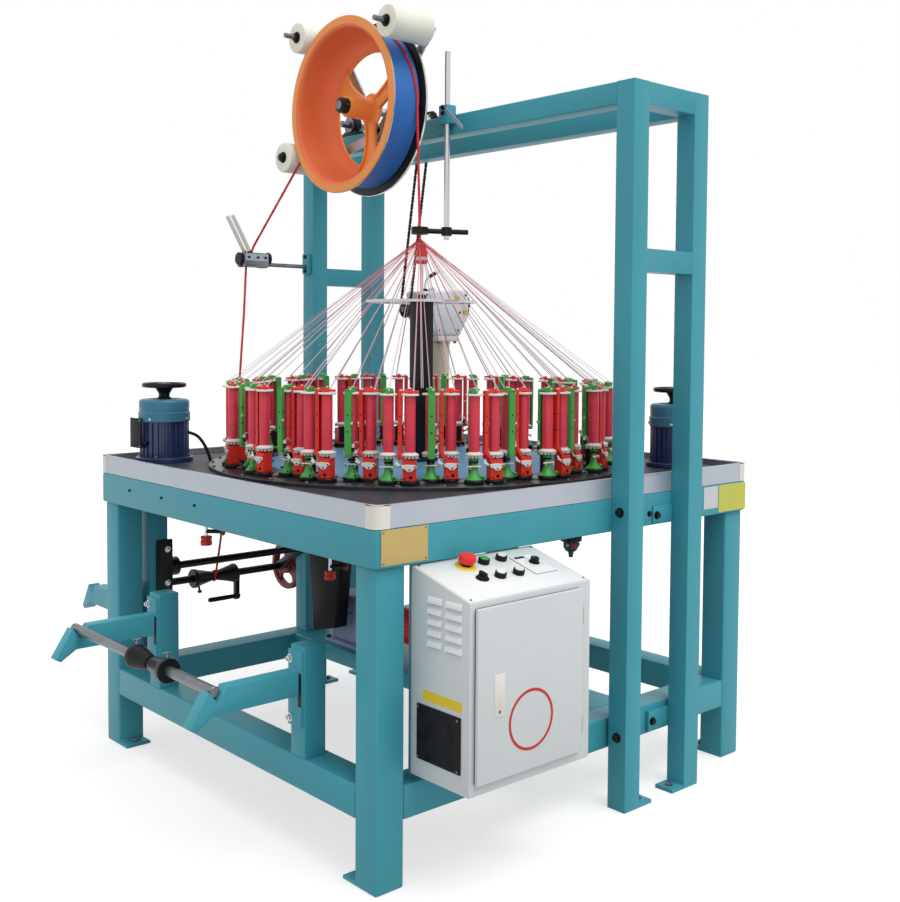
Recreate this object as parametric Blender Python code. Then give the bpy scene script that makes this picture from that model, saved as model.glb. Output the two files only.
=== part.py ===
"""A floor-standing braiding machine: a welded bed on four legs, a ring of bobbin carriers, an overhead
gantry with the haul-off wheel and its rollers, a control cabinet, two motors, a let-off stand and a winder.

Metres, Z up. Every shape is drawn about the middle of the bed, with X along the cabinet's face and Y
away from it, and the whole is moved at the end so that the middle of its footprint is the origin.
"""

import math

import bmesh
import bpy
from mathutils import Matrix, Vector

# The room between touching pieces, and round a shaft in its bearing. SINK is how far a welded piece runs in.
GAP = 0.0003
FIT = 0.0004
SINK = 0.002
BORE_SIDES = 16

# Ring of carriers: the middle of its path, how far the path sways, and the plate that it runs on
CARRIERS = 64
RING = 0.548
SWAY = 0.026
TRACK_HALF = 0.080
TRACK_THICK = 0.010
TRACK_IN = RING - TRACK_HALF
TRACK_OUT = RING + TRACK_HALF
INNER_ROOM = 0.004

# Bed
BED_MARGIN = 0.072
BED_HALF = TRACK_OUT + BED_MARGIN
APRON_LOW = 0.745
APRON_TALL = 0.088
APRON_DEEP = 0.060
APRON_TOP = APRON_LOW + APRON_TALL
RIM_TALL = 0.055
RIM_TOP = APRON_TOP + RIM_TALL
RIM_THICK = 0.010
RIM_DROP = 0.016
BED_TOP = RIM_TOP - RIM_DROP
TRACK_TOP = BED_TOP + TRACK_THICK
CORNER_ROUND = 0.022

# Legs, low rails and the uprights on them
LEG = 0.080
LEG_SET = 0.012
LEG_OUT = BED_HALF - LEG_SET
LEG_IN = LEG_OUT - LEG
FOOT_THICK = 0.010
FOOT_REACH = 0.050
RAIL_LOW = 0.157
RAIL_TALL = 0.080
RAIL_TOP = RAIL_LOW + RAIL_TALL
TUBE = 0.060
UPRIGHT_INSET = 0.010

# Gantry
POST_LEFT = 0.080
POST_ROOM = 0.194
POST_RIGHT = POST_LEFT + TUBE + POST_ROOM
POST_MIDDLE = POST_LEFT + TUBE + POST_ROOM / 2
POST_FRONT = -BED_HALF - GAP - TUBE
POST_REAR = BED_HALF + GAP
GANTRY_TOP = 1.930
TIE_DOWN = 0.494
TIE_LOW = GANTRY_TOP - TIE_DOWN
TIE_SET = 0.0005
SHOE_REACH = 0.052
SHOE_THICK = 0.010

# One carrier, with heights above the track: cone foot, spindle, ratchet, yarn package, cap and frame
CARRIER_SIDES = 5
CARRIER_TALL = 0.251
CARRIER_TOP = TRACK_TOP + CARRIER_TALL
CARRIER_FOOT = 0.021
CONE_TALL = 0.020
SPINDLE = 0.010
RATCHET_LOW = 0.062
RATCHET_TOP = 0.069
FLANGE = 0.0215
PACKAGE = 0.0135
PACKAGE_LOW = 0.080
PACKAGE_TOP = 0.229
CAP_TOP = 0.235
KNOB_TOP = 0.243
FRAME_WIDE = 0.011
FRAME_POST = 0.006
FRAME_OUT = 0.030
FRAME_ARM = 0.010
BRACKET_LOW = 0.030
BRACKET_TALL = 0.020
BRACKET_RISE = 0.024

# Haul-off wheel
WHEEL_Y = 0.244
AXLE_HIGH = 0.040
WHEEL_Z = GANTRY_TOP + AXLE_HIGH
WHEEL_R = 0.269
FLANGE_TALL = 0.026
DRUM_R = WHEEL_R - FLANGE_TALL
WHEEL_WIDE = 0.130
WHEEL_FAR = 0.0
WHEEL_NEAR = WHEEL_FAR - WHEEL_WIDE
FLANGE_THICK = 0.006
FLANGE_SLOPE = 0.008
RIM_WALL = 0.010
RIM_FACE = 0.028
BOWL_TURN = 0.060
WEB_R = 0.178
WEB_THICK = 0.008
SPOKES = 3
SPOKE_ROOT = 0.022
SPOKE_WAIST = 0.034
SPOKE_FLARE = 0.058
SPOKE_THICK = 0.012
HUB_R = 0.034
HUB_LONG = 0.109
COLLAR_R = 0.024
AXLE_R = 0.014
AXLE_OUT = 0.006
AXLE_PAST = 0.016
BEARING_WIDE = 0.034
BEARING_REACH = 0.055
BEARING_BASE = 0.014
BEARING_R = 0.034
BEARING_SET = 0.002

# Rollers round the wheel: each one's angle from +Y about the wheel's axis, in degrees
ROLLER_R = 0.048
ROLLER_ROOM = 0.0075
ROLLER_ORBIT = WHEEL_R + ROLLER_R + ROLLER_ROOM
ROLLER_LONG = 0.150
ROLLER_FAR = 0.005
ROLLER_NEAR = ROLLER_FAR - ROLLER_LONG
ROLLER_SHAFT_R = 0.008
ROLLER_SHAFT_OUT = 0.045
ROLLERS = {"roller_top": 140.4, "roller_back": 48.0, "roller_low": -23.8}
ROLLER_ARM_WIDE = 0.032
ROLLER_ARM_THICK = 0.008
ROLLER_ARM_AT = 0.018
ROLLER_ARM_PAST = 0.018
ROLLER_PLATE_WIDE = 0.150
ROLLER_PLATE_TALL = 0.048
ROLLER_PLATE_DOWN = 0.026

# The finished braid, the ring that it passes and the rod that carries the ring
BRAID_R = 0.003
BRAID_X = -0.013
BRAID_DOWN = 0.414
BRAID_Z = WHEEL_Z - BRAID_DOWN
BRAID_STEP = 18.0
BRAID_SPREAD = 0.077
BRAID_LEAD = 0.010
RING_CLEAR = 0.010
RING_TALL = 0.022
RING_LOW = BRAID_Z + RING_CLEAR
RING_HIGH = RING_LOW + RING_TALL
RING_BORE = 0.012
RING_R = 0.026
RING_ARM = 0.170
RING_ARM_R = 0.008
ROD_OFF = 0.0185
ROD_X = POST_LEFT - ROD_OFF
ROD_ASIDE = 0.043
ROD_Y = WHEEL_Y - DRUM_R - ROD_ASIDE
ROD_R = 0.0085
ROD_UP = 0.186
ROD_DOWN = 0.021
ROD_BOSS = 0.016
CLAMP_HALF = 0.020
CLAMP_DOWN = 0.030
CLAMP_UP = 0.025

# Yarns, and the bead in which they meet
YARN_R = 0.0006
YARN_BACK = 0.004
BEAD_R = 0.017
BEAD_TALL = 0.012
BEAD_SLOPE = 0.004
BEAD_ENTRY = 0.0065

# Centre column, its cap, hoop, core rod and die
COLUMN_HALF = 0.026
COLUMN_UNDER = 0.194
COLUMN_TOP = BRAID_Z - COLUMN_UNDER
CAP_HALF = 0.036
CAP_THICK = 0.008
HOOP_R = 0.165
HOOP_WIRE = 0.004
HOOP_SPOKE = 0.003
HOOP_SIDES = 20
CORE_R = 0.005
DIE_UNDER = 0.078
DIE_LOW = BRAID_Z - DIE_UNDER
DIE_TALL = 0.060
DIE_NECK = 0.014
DIE_R = 0.018
DIE_BAND = 0.022

# Forked braid guide on the rear left post
GUIDE_Y = POST_REAR + TUBE / 2
GUIDE_DOWN = 0.445
GUIDE_LOW = GANTRY_TOP - GUIDE_DOWN
GUIDE_HEAD_LEFT = -0.190
GUIDE_HEAD_WIDE = 0.095
GUIDE_HEAD_DEEP = 0.050
GUIDE_HEAD_TALL = 0.055
GUIDE_SLOT_LEFT = 0.006
GUIDE_SLOT_WIDE = 0.062
# Where the braid enters the slot and leaves it, as shares of the slot's width.
SLOT_ENTRY = 0.7
SLOT_EXIT = 0.22
GUIDE_SLOT_DEEP = 0.018
GUIDE_BAR_R = 0.007
GUIDE_BAR_UP = 0.015
GUIDE_PLATE_TALL = 0.070
GUIDE_PLATE_THICK = 0.012
GUIDE_PLATE_WIDE = 0.040
FINGER_R = 0.006
FINGER_APART = 0.034
FINGER_LEAN = 0.070
FINGER_TALL = 0.127
FINGER_SET = 0.025
GUIDE_LEAD = 0.075
FALL_X = -0.182
FALL_Y = 0.752
FALL_Z = 1.118

# Take-up drive in the far corner, and the cross shaft over it
GEARBOX_IN_X = 0.125
GEARBOX_IN_Y = 0.110
GEARBOX_X = BED_HALF - GEARBOX_IN_X
GEARBOX_Y = BED_HALF - GEARBOX_IN_Y
GEARBOX_DEEP = 0.100
GEARBOX_HIGH = 0.378
GEARBOX_LOW = TRACK_TOP + GEARBOX_HIGH
GEARBOX_KNEE = 0.075
GEARBOX_TALL = 0.177
GEARBOX_FALL = 0.012
GEARBOX_NEAR = 0.130
GEARBOX_FAR = 0.102
GEARBOX_BELLY = 0.060
STEM_R = 0.034
STEM_FOOT_X = 0.060
STEM_FOOT_Y = 0.050
STEM_FOOT_THICK = 0.014
STEM_HEAD_X = 0.052
STEM_HEAD_Y = 0.046
TAKE_UP_Y = GEARBOX_Y + 0.020
TAKE_UP_Z = GEARBOX_LOW + 0.097
TAKE_UP_R = 0.010
TAKE_UP_DISC = 0.044
TAKE_UP_DISC_THICK = 0.014
TAKE_UP_DISC_OUT = 0.007
CROSS_BACK = 0.261
CROSS_Y = WHEEL_Y + CROSS_BACK
CROSS_R = 0.011
CROSS_PAST = 0.050
SHAFT_PAST = 0.014
SPROCKET_R = 0.022
SPROCKET_WIDE = 0.008
CHAIN_THICK = 0.009
CHAIN_WIDE = 0.007
CHAIN_STEPS = 6
CHAIN_OFF = 0.028
TAKE_UP_CHAIN_X = POST_RIGHT + TUBE + CHAIN_OFF
WHEEL_CHAIN_X = POST_MIDDLE

# Cabinet and its controls. A control's place is its distance from a side and up the console's slope.
CAB_FROM_LEG = 0.018
CAB_LEFT = -LEG_IN + CAB_FROM_LEG
CAB_WIDE = 0.382
CAB_RIGHT = CAB_LEFT + CAB_WIDE
CAB_OVER_RAIL = 0.025
CAB_LOW = RAIL_TOP + CAB_OVER_RAIL
CAB_DEEP = 0.2007
CAB_BACK = -LEG_OUT - GAP
CAB_FRONT = CAB_BACK - CAB_DEEP
CAB_UNDER_BED = 0.003
CAB_TOP = APRON_LOW - CAB_UNDER_BED
CAB_FALL = 0.054
CAB_BROW = CAB_TOP - CAB_FALL
CAB_WALL = 0.004
CAB_UPRIGHT_IN = 0.070
CONSOLE_SLOPE = math.atan2(CAB_FALL, CAB_DEEP)
DOOR_IN_LEFT = 0.012
DOOR_IN_RIGHT = 0.038
DOOR_IN_LOW = 0.026
DOOR_IN_TOP = 0.012
DOOR_LEFT = CAB_LEFT + DOOR_IN_LEFT
DOOR_RIGHT = CAB_RIGHT - DOOR_IN_RIGHT
DOOR_LOW = CAB_LOW + DOOR_IN_LOW
DOOR_TOP = CAB_BROW - DOOR_IN_TOP
DOOR_THICK = 0.016
DOOR_LAP = 0.015
BUTTON_IN = 0.122
BUTTON_UP = 0.158
BUTTON_STEM = 0.011
BUTTON_R = 0.021
BUTTON_DOWN = 0.012
BUTTON_NECK = 0.016
BUTTON_TALL = 0.031
BUTTON_ROOM = 0.0006
SELECTOR_IN = 0.116
SELECTOR_UP = 0.092
SELECTOR_R = 0.012
SELECTOR_TALL = 0.018
SPEED_IN = 0.074
SPEED_UP = 0.120
SPEED_R = 0.014
SPEED_TALL = 0.016

# Motors on the bed: how far in from the bed's edges, and how far off the motor's middle the box sits
MOTOR_LEFT_IN = (0.137, 0.150)
MOTOR_RIGHT_IN = (0.140, 0.170)
MOTOR_BOX_OFF = 0.022
MOTOR_R = 0.073
MOTOR_RIB = 0.006
MOTOR_RIBS = 12
# Of the pitch between two ribs: half a rib's face, and from its middle to the foot of its side.
RIB_FACE = 0.16
RIB_ROOT = 0.26
MOTOR_FOOT = 0.085
MOTOR_FOOT_THICK = 0.014
MOTOR_BODY = 0.123
MOTOR_CAP = 0.067
MOTOR_CAP_OUT = 0.004
MOTOR_CAP_ROUND = 0.012
MOTOR_TOP = BED_TOP + MOTOR_BODY + MOTOR_CAP
MOTOR_BOX_OUT = 0.030
MOTOR_BOX_HALF = 0.036
MOTOR_BOX_LOW = 0.008
MOTOR_BOX_TALL = 0.092
MOTOR_STUB = 0.009
HANDWHEEL_R = 0.066
HANDWHEEL_OVER = 0.021
HANDWHEEL_LOW = MOTOR_TOP + HANDWHEEL_OVER
HANDWHEEL_RIM = 0.012
HANDWHEEL_TALL = 0.028
HANDWHEEL_LIFT = 0.014
HANDWHEEL_HUB = 0.017
HANDWHEEL_SPOKE = 0.010
HANDWHEEL_SPOKE_THICK = 0.007

# Notched arms: on the let-off stand, and behind the rear rail
ARM_LONG = 0.297
ARM_DEEP = 0.062
ARM_WIDE = 0.036
ARM_PLATE = 0.056
ARM_PLATE_THICK = 0.010
NOTCH_BACK = 0.070
NOTCH_DEEP = 0.034
NOTCH_RUN = 0.024
LIP_FALL = 0.082
LIP_THICK = 0.014
LIP_DROP = 0.008
STAND_NEAR_Y = -0.375
STAND_FAR_Y = 0.370
STAND_TOP = 0.510
STAND_PLATE_LOW = 0.315
STAND_PLATE_TOP = 0.500
ARM_TOP = 0.455
ARM_TIP = -LEG_OUT - ARM_LONG
REAR_ARM_IN = 0.012
REAR_ARM_TOP = 0.440
REAR_ARM_TIP = LEG_OUT + ARM_LONG
REAR_PLATE_PAST = 0.040
REAR_PLATE_SET = 0.003

# Let-off bar with its two cones
BAR_R = 0.013
BAR_PAST = 0.004
NOTCH_LEAN = math.radians(35)
CONE_WIDE = 0.031
CONE_NARROW = 0.018
CONE_LONG = 0.096
CONE_LAND = 0.017
CONE_APART = 0.112
CONE_START = -0.174

# Winder at the back
WINDER_FROM_LEG = 0.028
WINDER_FROM_POST = 0.024
WINDER_LEFT = -LEG_IN + WINDER_FROM_LEG + TUBE / 2
WINDER_RIGHT = POST_LEFT - WINDER_FROM_POST - TUBE / 2
JACK_SET = 0.037
JACK_Y = LEG_IN + JACK_SET
JACK_OVER = 0.082
JACK_R = 0.012
WIND_BACK = 0.130
WIND_Y = JACK_Y + WIND_BACK
WIND_Z = 0.440
JACK_Z = WIND_Z + JACK_OVER
WIND_R = 0.0125
WIND_CONE = 0.032
WIND_NECK = 0.016
WIND_CONE_HALF = 0.081
WIND_LAND = 0.013
WIND_GROOVE = 0.008
WIND_MID = -0.270
WIND_CHAIN_OFF = 0.040
WIND_CHAIN_X = WINDER_RIGHT + WIND_CHAIN_OFF
WIND_END = 0.008
BRACKET_LEFT_THICK = 0.018
BRACKET_RIGHT_THICK = 0.010
BRACKET_EDGE = 0.026
BOSS_JACK = 0.030
BOSS_JACK_LONG = 0.045
BOSS_WIND = 0.022
BOSS_WIND_LONG = 0.030
CRANK_LONG = 0.094
CRANK_HALF = 0.012
CRANK_THICK = 0.018
CRANK_IN = 0.003
GRIP_LONG = 0.100
GRIP_R = 0.008
SPOKED_R = 0.086
SPOKED_RIM = 0.016
SPOKED_LEFT = WINDER_RIGHT - 0.014
SPOKED_WIDE = 0.024
SPOKED_SPOKE = 0.012
SPOKED_HUB = 0.030

# Drive under the bed
DRIVE_X = 0.035
DRIVE_Y = 0.370
DRIVE_HIGH = 0.108
DRIVE_Z = RAIL_TOP + DRIVE_HIGH
SHELF_LEFT = DRIVE_X - 0.090
SHELF_WIDE = 0.300
SHELF_DEEP = 0.050
DRIVE_FOOT = (0.065, 0.075, 0.095)
DRIVE_FOOT_THICK = 0.014
DRIVE_BODY = (0.055, 0.060, 0.080)
DRIVE_BODY_OVER = 0.062
DRIVE_ROUND = 0.018
DRIVE_HUB = 0.050
DRIVE_HUB_UP = 0.010
DRIVE_HUB_OUT = 0.085
DRIVE_MOTOR = 0.054
DRIVE_MOTOR_FLANGE = 0.062
DRIVE_MOTOR_LONG = 0.330
DRIVE_MOTOR_CAP = 0.060
GUARD_THICK = 0.050
GUARD_LEAN = 0.050
GUARD_FOOT_IN = 0.070
GUARD_RAKE = 0.030
GUARD_NEAR = 0.240
GUARD_WIDE = 0.260
GUARD_TALL = 0.543
GUARD_WAIST = 0.333

# The middle of the footprint, from the middle of the bed
BED_X = -(ARM_TIP + BED_HALF) / 2
BED_Y = -(REAR_ARM_TIP + CAB_FRONT - GAP - DOOR_THICK) / 2

TEAL = (0.09, 0.36, 0.41, 1.0)
ALUMINIUM = (0.62, 0.65, 0.68, 1.0)
BLACK = (0.02, 0.02, 0.022, 1.0)
STEEL = (0.55, 0.57, 0.6, 1.0)
RED = (0.62, 0.03, 0.03, 1.0)
ORANGE = (0.75, 0.22, 0.05, 1.0)
IVORY = (0.82, 0.8, 0.62, 1.0)
NAVY = (0.02, 0.03, 0.11, 1.0)
CABINET_GREY = (0.66, 0.7, 0.7, 1.0)
SLATE = (0.06, 0.08, 0.09, 1.0)
BLUE = (0.06, 0.24, 0.42, 1.0)
GEAR_GREY = (0.45, 0.5, 0.55, 1.0)
YARN = (0.55, 0.04, 0.07, 1.0)


def clear_scene():
    """Removes what the scene starts with and makes the part's two collections."""
    for obj in list(bpy.data.objects):
        bpy.data.objects.remove(obj)
    part = bpy.data.collections.new("braiding_machine")
    tools = bpy.data.collections.new("cutters")
    tools.hide_render = True
    for collection in (part, tools):
        bpy.context.scene.collection.children.link(collection)
    return part, tools


PART, TOOLS = clear_scene()


def material(name, colour, roughness, metallic):
    """A Principled material."""
    made = bpy.data.materials.new(name)
    made.use_nodes = True
    shader = made.node_tree.nodes["Principled BSDF"]
    shader.inputs["Base Color"].default_value = colour
    shader.inputs["Roughness"].default_value = roughness
    shader.inputs["Metallic"].default_value = metallic
    return made


def mesh_of(bm, name):
    """Turns a bmesh into a mesh with its faces pointing out."""
    bmesh.ops.recalc_face_normals(bm, faces=bm.faces)
    mesh = bpy.data.meshes.new(name)
    bm.to_mesh(mesh)
    bm.free()
    return mesh


def block(low, high, upright_round=0.0, steps=2):
    """A box from one corner to the other, its upright edges rounded where a radius is given."""
    bm = bmesh.new()
    bmesh.ops.create_cube(bm, size=1.0)
    size = Vector(high) - Vector(low)
    middle = (Vector(high) + Vector(low)) / 2
    bmesh.ops.transform(bm, matrix=Matrix.Translation(middle) @ Matrix.Diagonal((*size, 1.0)), verts=bm.verts)
    if upright_round:
        edges = [e for e in bm.edges if abs(e.verts[0].co.z - e.verts[1].co.z) > size.z / 2]
        bmesh.ops.bevel(bm, geom=edges, offset=upright_round, segments=steps, profile=0.5, affect="EDGES")
    return mesh_of(bm, "block")


def turn_to(axis):
    """The rotation that carries Z onto an axis."""
    return Vector((0, 0, 1)).rotation_difference(Vector(axis)).to_matrix().to_4x4()


def rod(start, end, radius, sides=16, end_radius=None):
    """A round bar or cone between two points."""
    start, end = Vector(start), Vector(end)
    bm = bmesh.new()
    bmesh.ops.create_cone(
        bm,
        cap_ends=True,
        segments=sides,
        radius1=radius,
        radius2=radius if end_radius is None else end_radius,
        depth=(end - start).length,
    )
    place = Matrix.Translation((start + end) / 2) @ turn_to(end - start)
    bmesh.ops.transform(bm, matrix=place, verts=bm.verts)
    return mesh_of(bm, "rod")


def turned(profile, centre, axis, sides):
    """A profile of (radius, height) pairs turned about an axis. A closed one ends with its first pair."""
    bm = bmesh.new()
    closed = profile[0] == profile[-1]
    pairs = profile[:-1] if closed else profile
    points = [bm.verts.new((radius, 0.0, height)) for radius, height in pairs]
    edges = [bm.edges.new(pair) for pair in zip(points, points[1:])]
    if closed:
        edges.append(bm.edges.new((points[-1], points[0])))
    bmesh.ops.spin(
        bm,
        geom=points + edges,
        cent=(0, 0, 0),
        axis=(0, 0, 1),
        dvec=(0, 0, 0),
        angle=math.tau,
        steps=sides,
        use_merge=True,
        use_duplicate=False,
    )
    bmesh.ops.remove_doubles(bm, verts=bm.verts, dist=0.00005)
    bmesh.ops.transform(bm, matrix=Matrix.Translation(centre) @ turn_to(axis), verts=bm.verts)
    return mesh_of(bm, "turned")


def ring(inner, outer, low, high, centre, axis, sides):
    """A flat ring: a tube with square ends."""
    corners = [(inner, low), (outer, low), (outer, high), (inner, high), (inner, low)]
    return turned(corners, centre, axis, sides)


def sheet(outline, thickness, place):
    """A flat outline (list of 2D points) thickened upward from its own plane, then put in place."""
    curve = bpy.data.curves.new("outline", "CURVE")
    curve.dimensions = "2D"
    curve.fill_mode = "BOTH"
    curve.extrude = thickness / 2
    spline = curve.splines.new("POLY")
    spline.points.add(len(outline) - 1)
    for point, (x, y) in zip(spline.points, outline):
        point.co = (x, y, 0.0, 1.0)
    spline.use_cyclic_u = True
    holder = bpy.data.objects.new("outline", curve)
    TOOLS.objects.link(holder)
    graph = bpy.context.evaluated_depsgraph_get()
    mesh = bpy.data.meshes.new_from_object(holder.evaluated_get(graph))
    bpy.data.objects.remove(holder)
    bm = bmesh.new()
    bm.from_mesh(mesh)
    bmesh.ops.remove_doubles(bm, verts=bm.verts, dist=0.00001)
    bmesh.ops.transform(bm, matrix=place @ Matrix.Translation((0, 0, thickness / 2)), verts=bm.verts)
    return mesh_of(bm, "sheet")


def along_x(x):
    """Places a sheet drawn in (y, z) so that it thickens along +X from x."""
    return Matrix(((0, 0, 1, x), (1, 0, 0, 0), (0, 1, 0, 0), (0, 0, 0, 1)))


def along_y(y):
    """Places a sheet drawn in (x, z) so that it thickens along -Y from y."""
    return Matrix(((1, 0, 0, 0), (0, 0, -1, y), (0, 1, 0, 0), (0, 0, 0, 1)))


def wire(points, radius, sides, closed=False):
    """A round bar that follows a run of points, its ends closed."""
    curve = bpy.data.curves.new("wire", "CURVE")
    curve.dimensions = "3D"
    curve.bevel_depth = radius
    curve.bevel_resolution = (sides - 4) // 2
    curve.use_fill_caps = True
    spline = curve.splines.new("POLY")
    spline.points.add(len(points) - 1)
    for point, place in zip(spline.points, points):
        point.co = (*place, 1.0)
    spline.use_cyclic_u = closed
    holder = bpy.data.objects.new("wire", curve)
    TOOLS.objects.link(holder)
    graph = bpy.context.evaluated_depsgraph_get()
    mesh = bpy.data.meshes.new_from_object(holder.evaluated_get(graph))
    bpy.data.objects.remove(holder)
    bm = bmesh.new()
    bm.from_mesh(mesh)
    bmesh.ops.remove_doubles(bm, verts=bm.verts, dist=0.00001)
    return mesh_of(bm, "wire")


def together(meshes):
    """One mesh of several that don't touch."""
    bm = bmesh.new()
    for mesh in meshes:
        bm.from_mesh(mesh)
    return mesh_of(bm, "together")


def round_copies(mesh, centre, axis, count):
    """Copies of a mesh turned about an axis, as one mesh."""
    centre = Vector(centre)
    copies = []
    for index in range(count):
        turn = Matrix.Rotation(math.tau * index / count, 4, Vector(axis))
        copy = mesh.copy()
        copy.transform(Matrix.Translation(centre) @ turn @ Matrix.Translation(-centre))
        copies.append(copy)
    return together(copies)


def shade(mesh):
    """Shades the round faces smooth and keeps the corners crisp."""
    mesh.polygons.foreach_set("use_smooth", [True] * len(mesh.polygons))
    mesh.set_sharp_from_angle(angle=math.radians(35))


def node(name, mesh, look, joins=(), cuts=(), origin=(0.0, 0.0, 0.0)):
    """Makes one named piece of the part. Joins are united with it and cuts are taken out of it."""
    place = Vector(origin)
    mesh = mesh.copy()
    mesh.transform(Matrix.Translation(-place))
    mesh.materials.clear()
    mesh.materials.append(look)
    shade(mesh)
    obj = bpy.data.objects.new(name, mesh)
    obj.location = place
    PART.objects.link(obj)
    for kind, operands in (("UNION", joins), ("DIFFERENCE", cuts)):
        for index, operand in enumerate(operands):
            shade(operand)
            tool = bpy.data.objects.new(f"{name}_{kind.lower()}_{index}", operand)
            tool.display_type = "WIRE"
            TOOLS.objects.link(tool)
            step = obj.modifiers.new(f"{kind.lower()}_{index}", "BOOLEAN")
            step.operation = kind
            step.solver = "EXACT"
            step.object = tool
    return obj


def chain_loop(name, x, ends, look):
    """A chain as one fixed loop round two sprockets of one size, in the plane at x."""
    low, high = (Vector(end) for end in ends)
    run = high - low
    lean = math.atan2(run.y, run.x)
    steps = CHAIN_STEPS
    turns = []
    for centre, start in ((high, lean - math.pi / 2), (low, lean + math.pi / 2)):
        turns += [(centre, start + math.pi * i / steps) for i in range(steps + 1)]
    inner = (SPROCKET_R + GAP) / math.cos(math.pi / steps / 2)
    outer = inner + CHAIN_THICK
    outside, inside = (
        [(centre.x + radius * math.cos(turn), centre.y + radius * math.sin(turn)) for centre, turn in turns]
        for radius in (outer, inner)
    )
    band = sheet(outside, CHAIN_WIDE, along_x(x - CHAIN_WIDE / 2))
    hollow = sheet(inside, 3 * CHAIN_WIDE, along_x(x - 1.5 * CHAIN_WIDE))
    node(name, band, look, cuts=[hollow])


def make_legs(look):
    """Four square legs, each with a foot plate that runs on past it along Y."""
    for side, sx in (("left", -1), ("right", 1)):
        for end, sy in (("front", -1), ("rear", 1)):
            x0, x1 = sorted((sx * LEG_IN, sx * LEG_OUT))
            y0, y1 = sorted((sy * LEG_IN, sy * LEG_OUT))
            f0, f1 = sorted((sy * (LEG_IN - FOOT_REACH), sy * LEG_OUT))
            tube = block((x0, y0, FOOT_THICK / 2), (x1, y1, APRON_LOW - GAP))
            foot = block((x0, f0, 0), (x1, f1, FOOT_THICK))
            node(f"leg_{end}_{side}", tube, look, joins=[foot])


def square_ring(half, wall, low, top, corner):
    """A square ring's outside and its hollow, which runs on past both faces. The corners are round."""
    inside = half - wall
    outer = block((-half, -half, low), (half, half, top), CORNER_ROUND, 4)
    hollow = block((-inside, -inside, low - RIM_TALL), (inside, inside, top + RIM_TALL), corner, 4)
    return outer, hollow


def make_bed(teal, metal, dark):
    """The bed's deep welded frame, the metal strip round it and the top plate a little lower."""
    apron, under = square_ring(BED_HALF, APRON_DEEP, APRON_LOW, APRON_TOP, 0.0)
    node("bed_frame", apron, teal, cuts=[under])
    inner_round = CORNER_ROUND - RIM_THICK
    rim, well = square_ring(BED_HALF, RIM_THICK, APRON_TOP + GAP, RIM_TOP, inner_round)
    node("bed_rim", rim, metal, cuts=[well])
    half = BED_HALF - RIM_THICK - GAP
    node("bed_plate", block((-half, -half, APRON_TOP + GAP), (half, half, BED_TOP), inner_round, 4), dark)


def rail_uprights(places, low_y):
    """Square uprights from a low rail to the bed frame."""
    half = TUBE / 2
    return together([
        block((x - half, low_y, RAIL_TOP - SINK), (x + half, low_y + TUBE, APRON_LOW - GAP)) for x in places
    ])


def rear_arms():
    """Two notched arms on bolting plates behind the rear low rail, with the tabs that meet the rail."""
    low = RAIL_LOW + REAR_PLATE_SET
    half = ARM_PLATE / 2
    plates, arms, tabs = [], [], []
    for x in (-LEG_IN - REAR_ARM_IN, POST_MIDDLE):
        left, right = x - half, x + half
        top = REAR_ARM_TOP + REAR_PLATE_PAST
        plates.append(block((left, LEG_OUT + GAP, low), (right, LEG_OUT + REAR_ARM_IN, top)))
        outline = arm_outline(LEG_OUT + REAR_ARM_IN / 2, REAR_ARM_TIP, REAR_ARM_TOP)
        arms.append(sheet(outline, ARM_WIDE, along_x(x - ARM_WIDE / 2)))
        inner = max(left + SINK, -LEG_IN + GAP)
        tabs.append(block(
            (inner, LEG_OUT - REAR_PLATE_SET, low + SINK),
            (right - SINK, LEG_OUT + REAR_ARM_IN / 2, RAIL_TOP - SINK),
        ))
    return [together(tabs), together(plates), together(arms)]


def make_rails(look):
    """The low rails between the legs. The front one has the uprights that carry the cabinet."""
    inside = LEG_IN - GAP
    front = block((-inside, -LEG_OUT, RAIL_LOW), (inside, -LEG_IN, RAIL_TOP))
    behind_cabinet = (CAB_LEFT + CAB_UPRIGHT_IN, CAB_RIGHT - CAB_UPRIGHT_IN)
    node("rail_front", front, look, joins=[rail_uprights(behind_cabinet, -LEG_OUT)])
    rear = block((-inside, LEG_IN, RAIL_LOW), (inside, LEG_OUT, RAIL_TOP))
    uprights = rail_uprights((WINDER_LEFT, WINDER_RIGHT), LEG_IN + UPRIGHT_INSET)
    ends = ((x, JACK_Y, JACK_Z) for x in (WINDER_RIGHT - TUBE, WINDER_RIGHT + TUBE))
    bore = rod(*ends, JACK_R + FIT, BORE_SIDES)
    node("rail_rear", rear, look, joins=[uprights] + rear_arms(), cuts=[bore])
    for side, sx in (("left", -1), ("right", 1)):
        x0, x1 = sorted((sx * LEG_IN, sx * LEG_OUT))
        node(f"rail_{side}", block((x0, -inside, RAIL_LOW), (x1, inside, RAIL_TOP)), look)
    shelf = block((SHELF_LEFT, -inside, RAIL_TOP - SHELF_DEEP), (SHELF_LEFT + SHELF_WIDE, inside, RAIL_TOP))
    node("drive_shelf", shelf, look)


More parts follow.
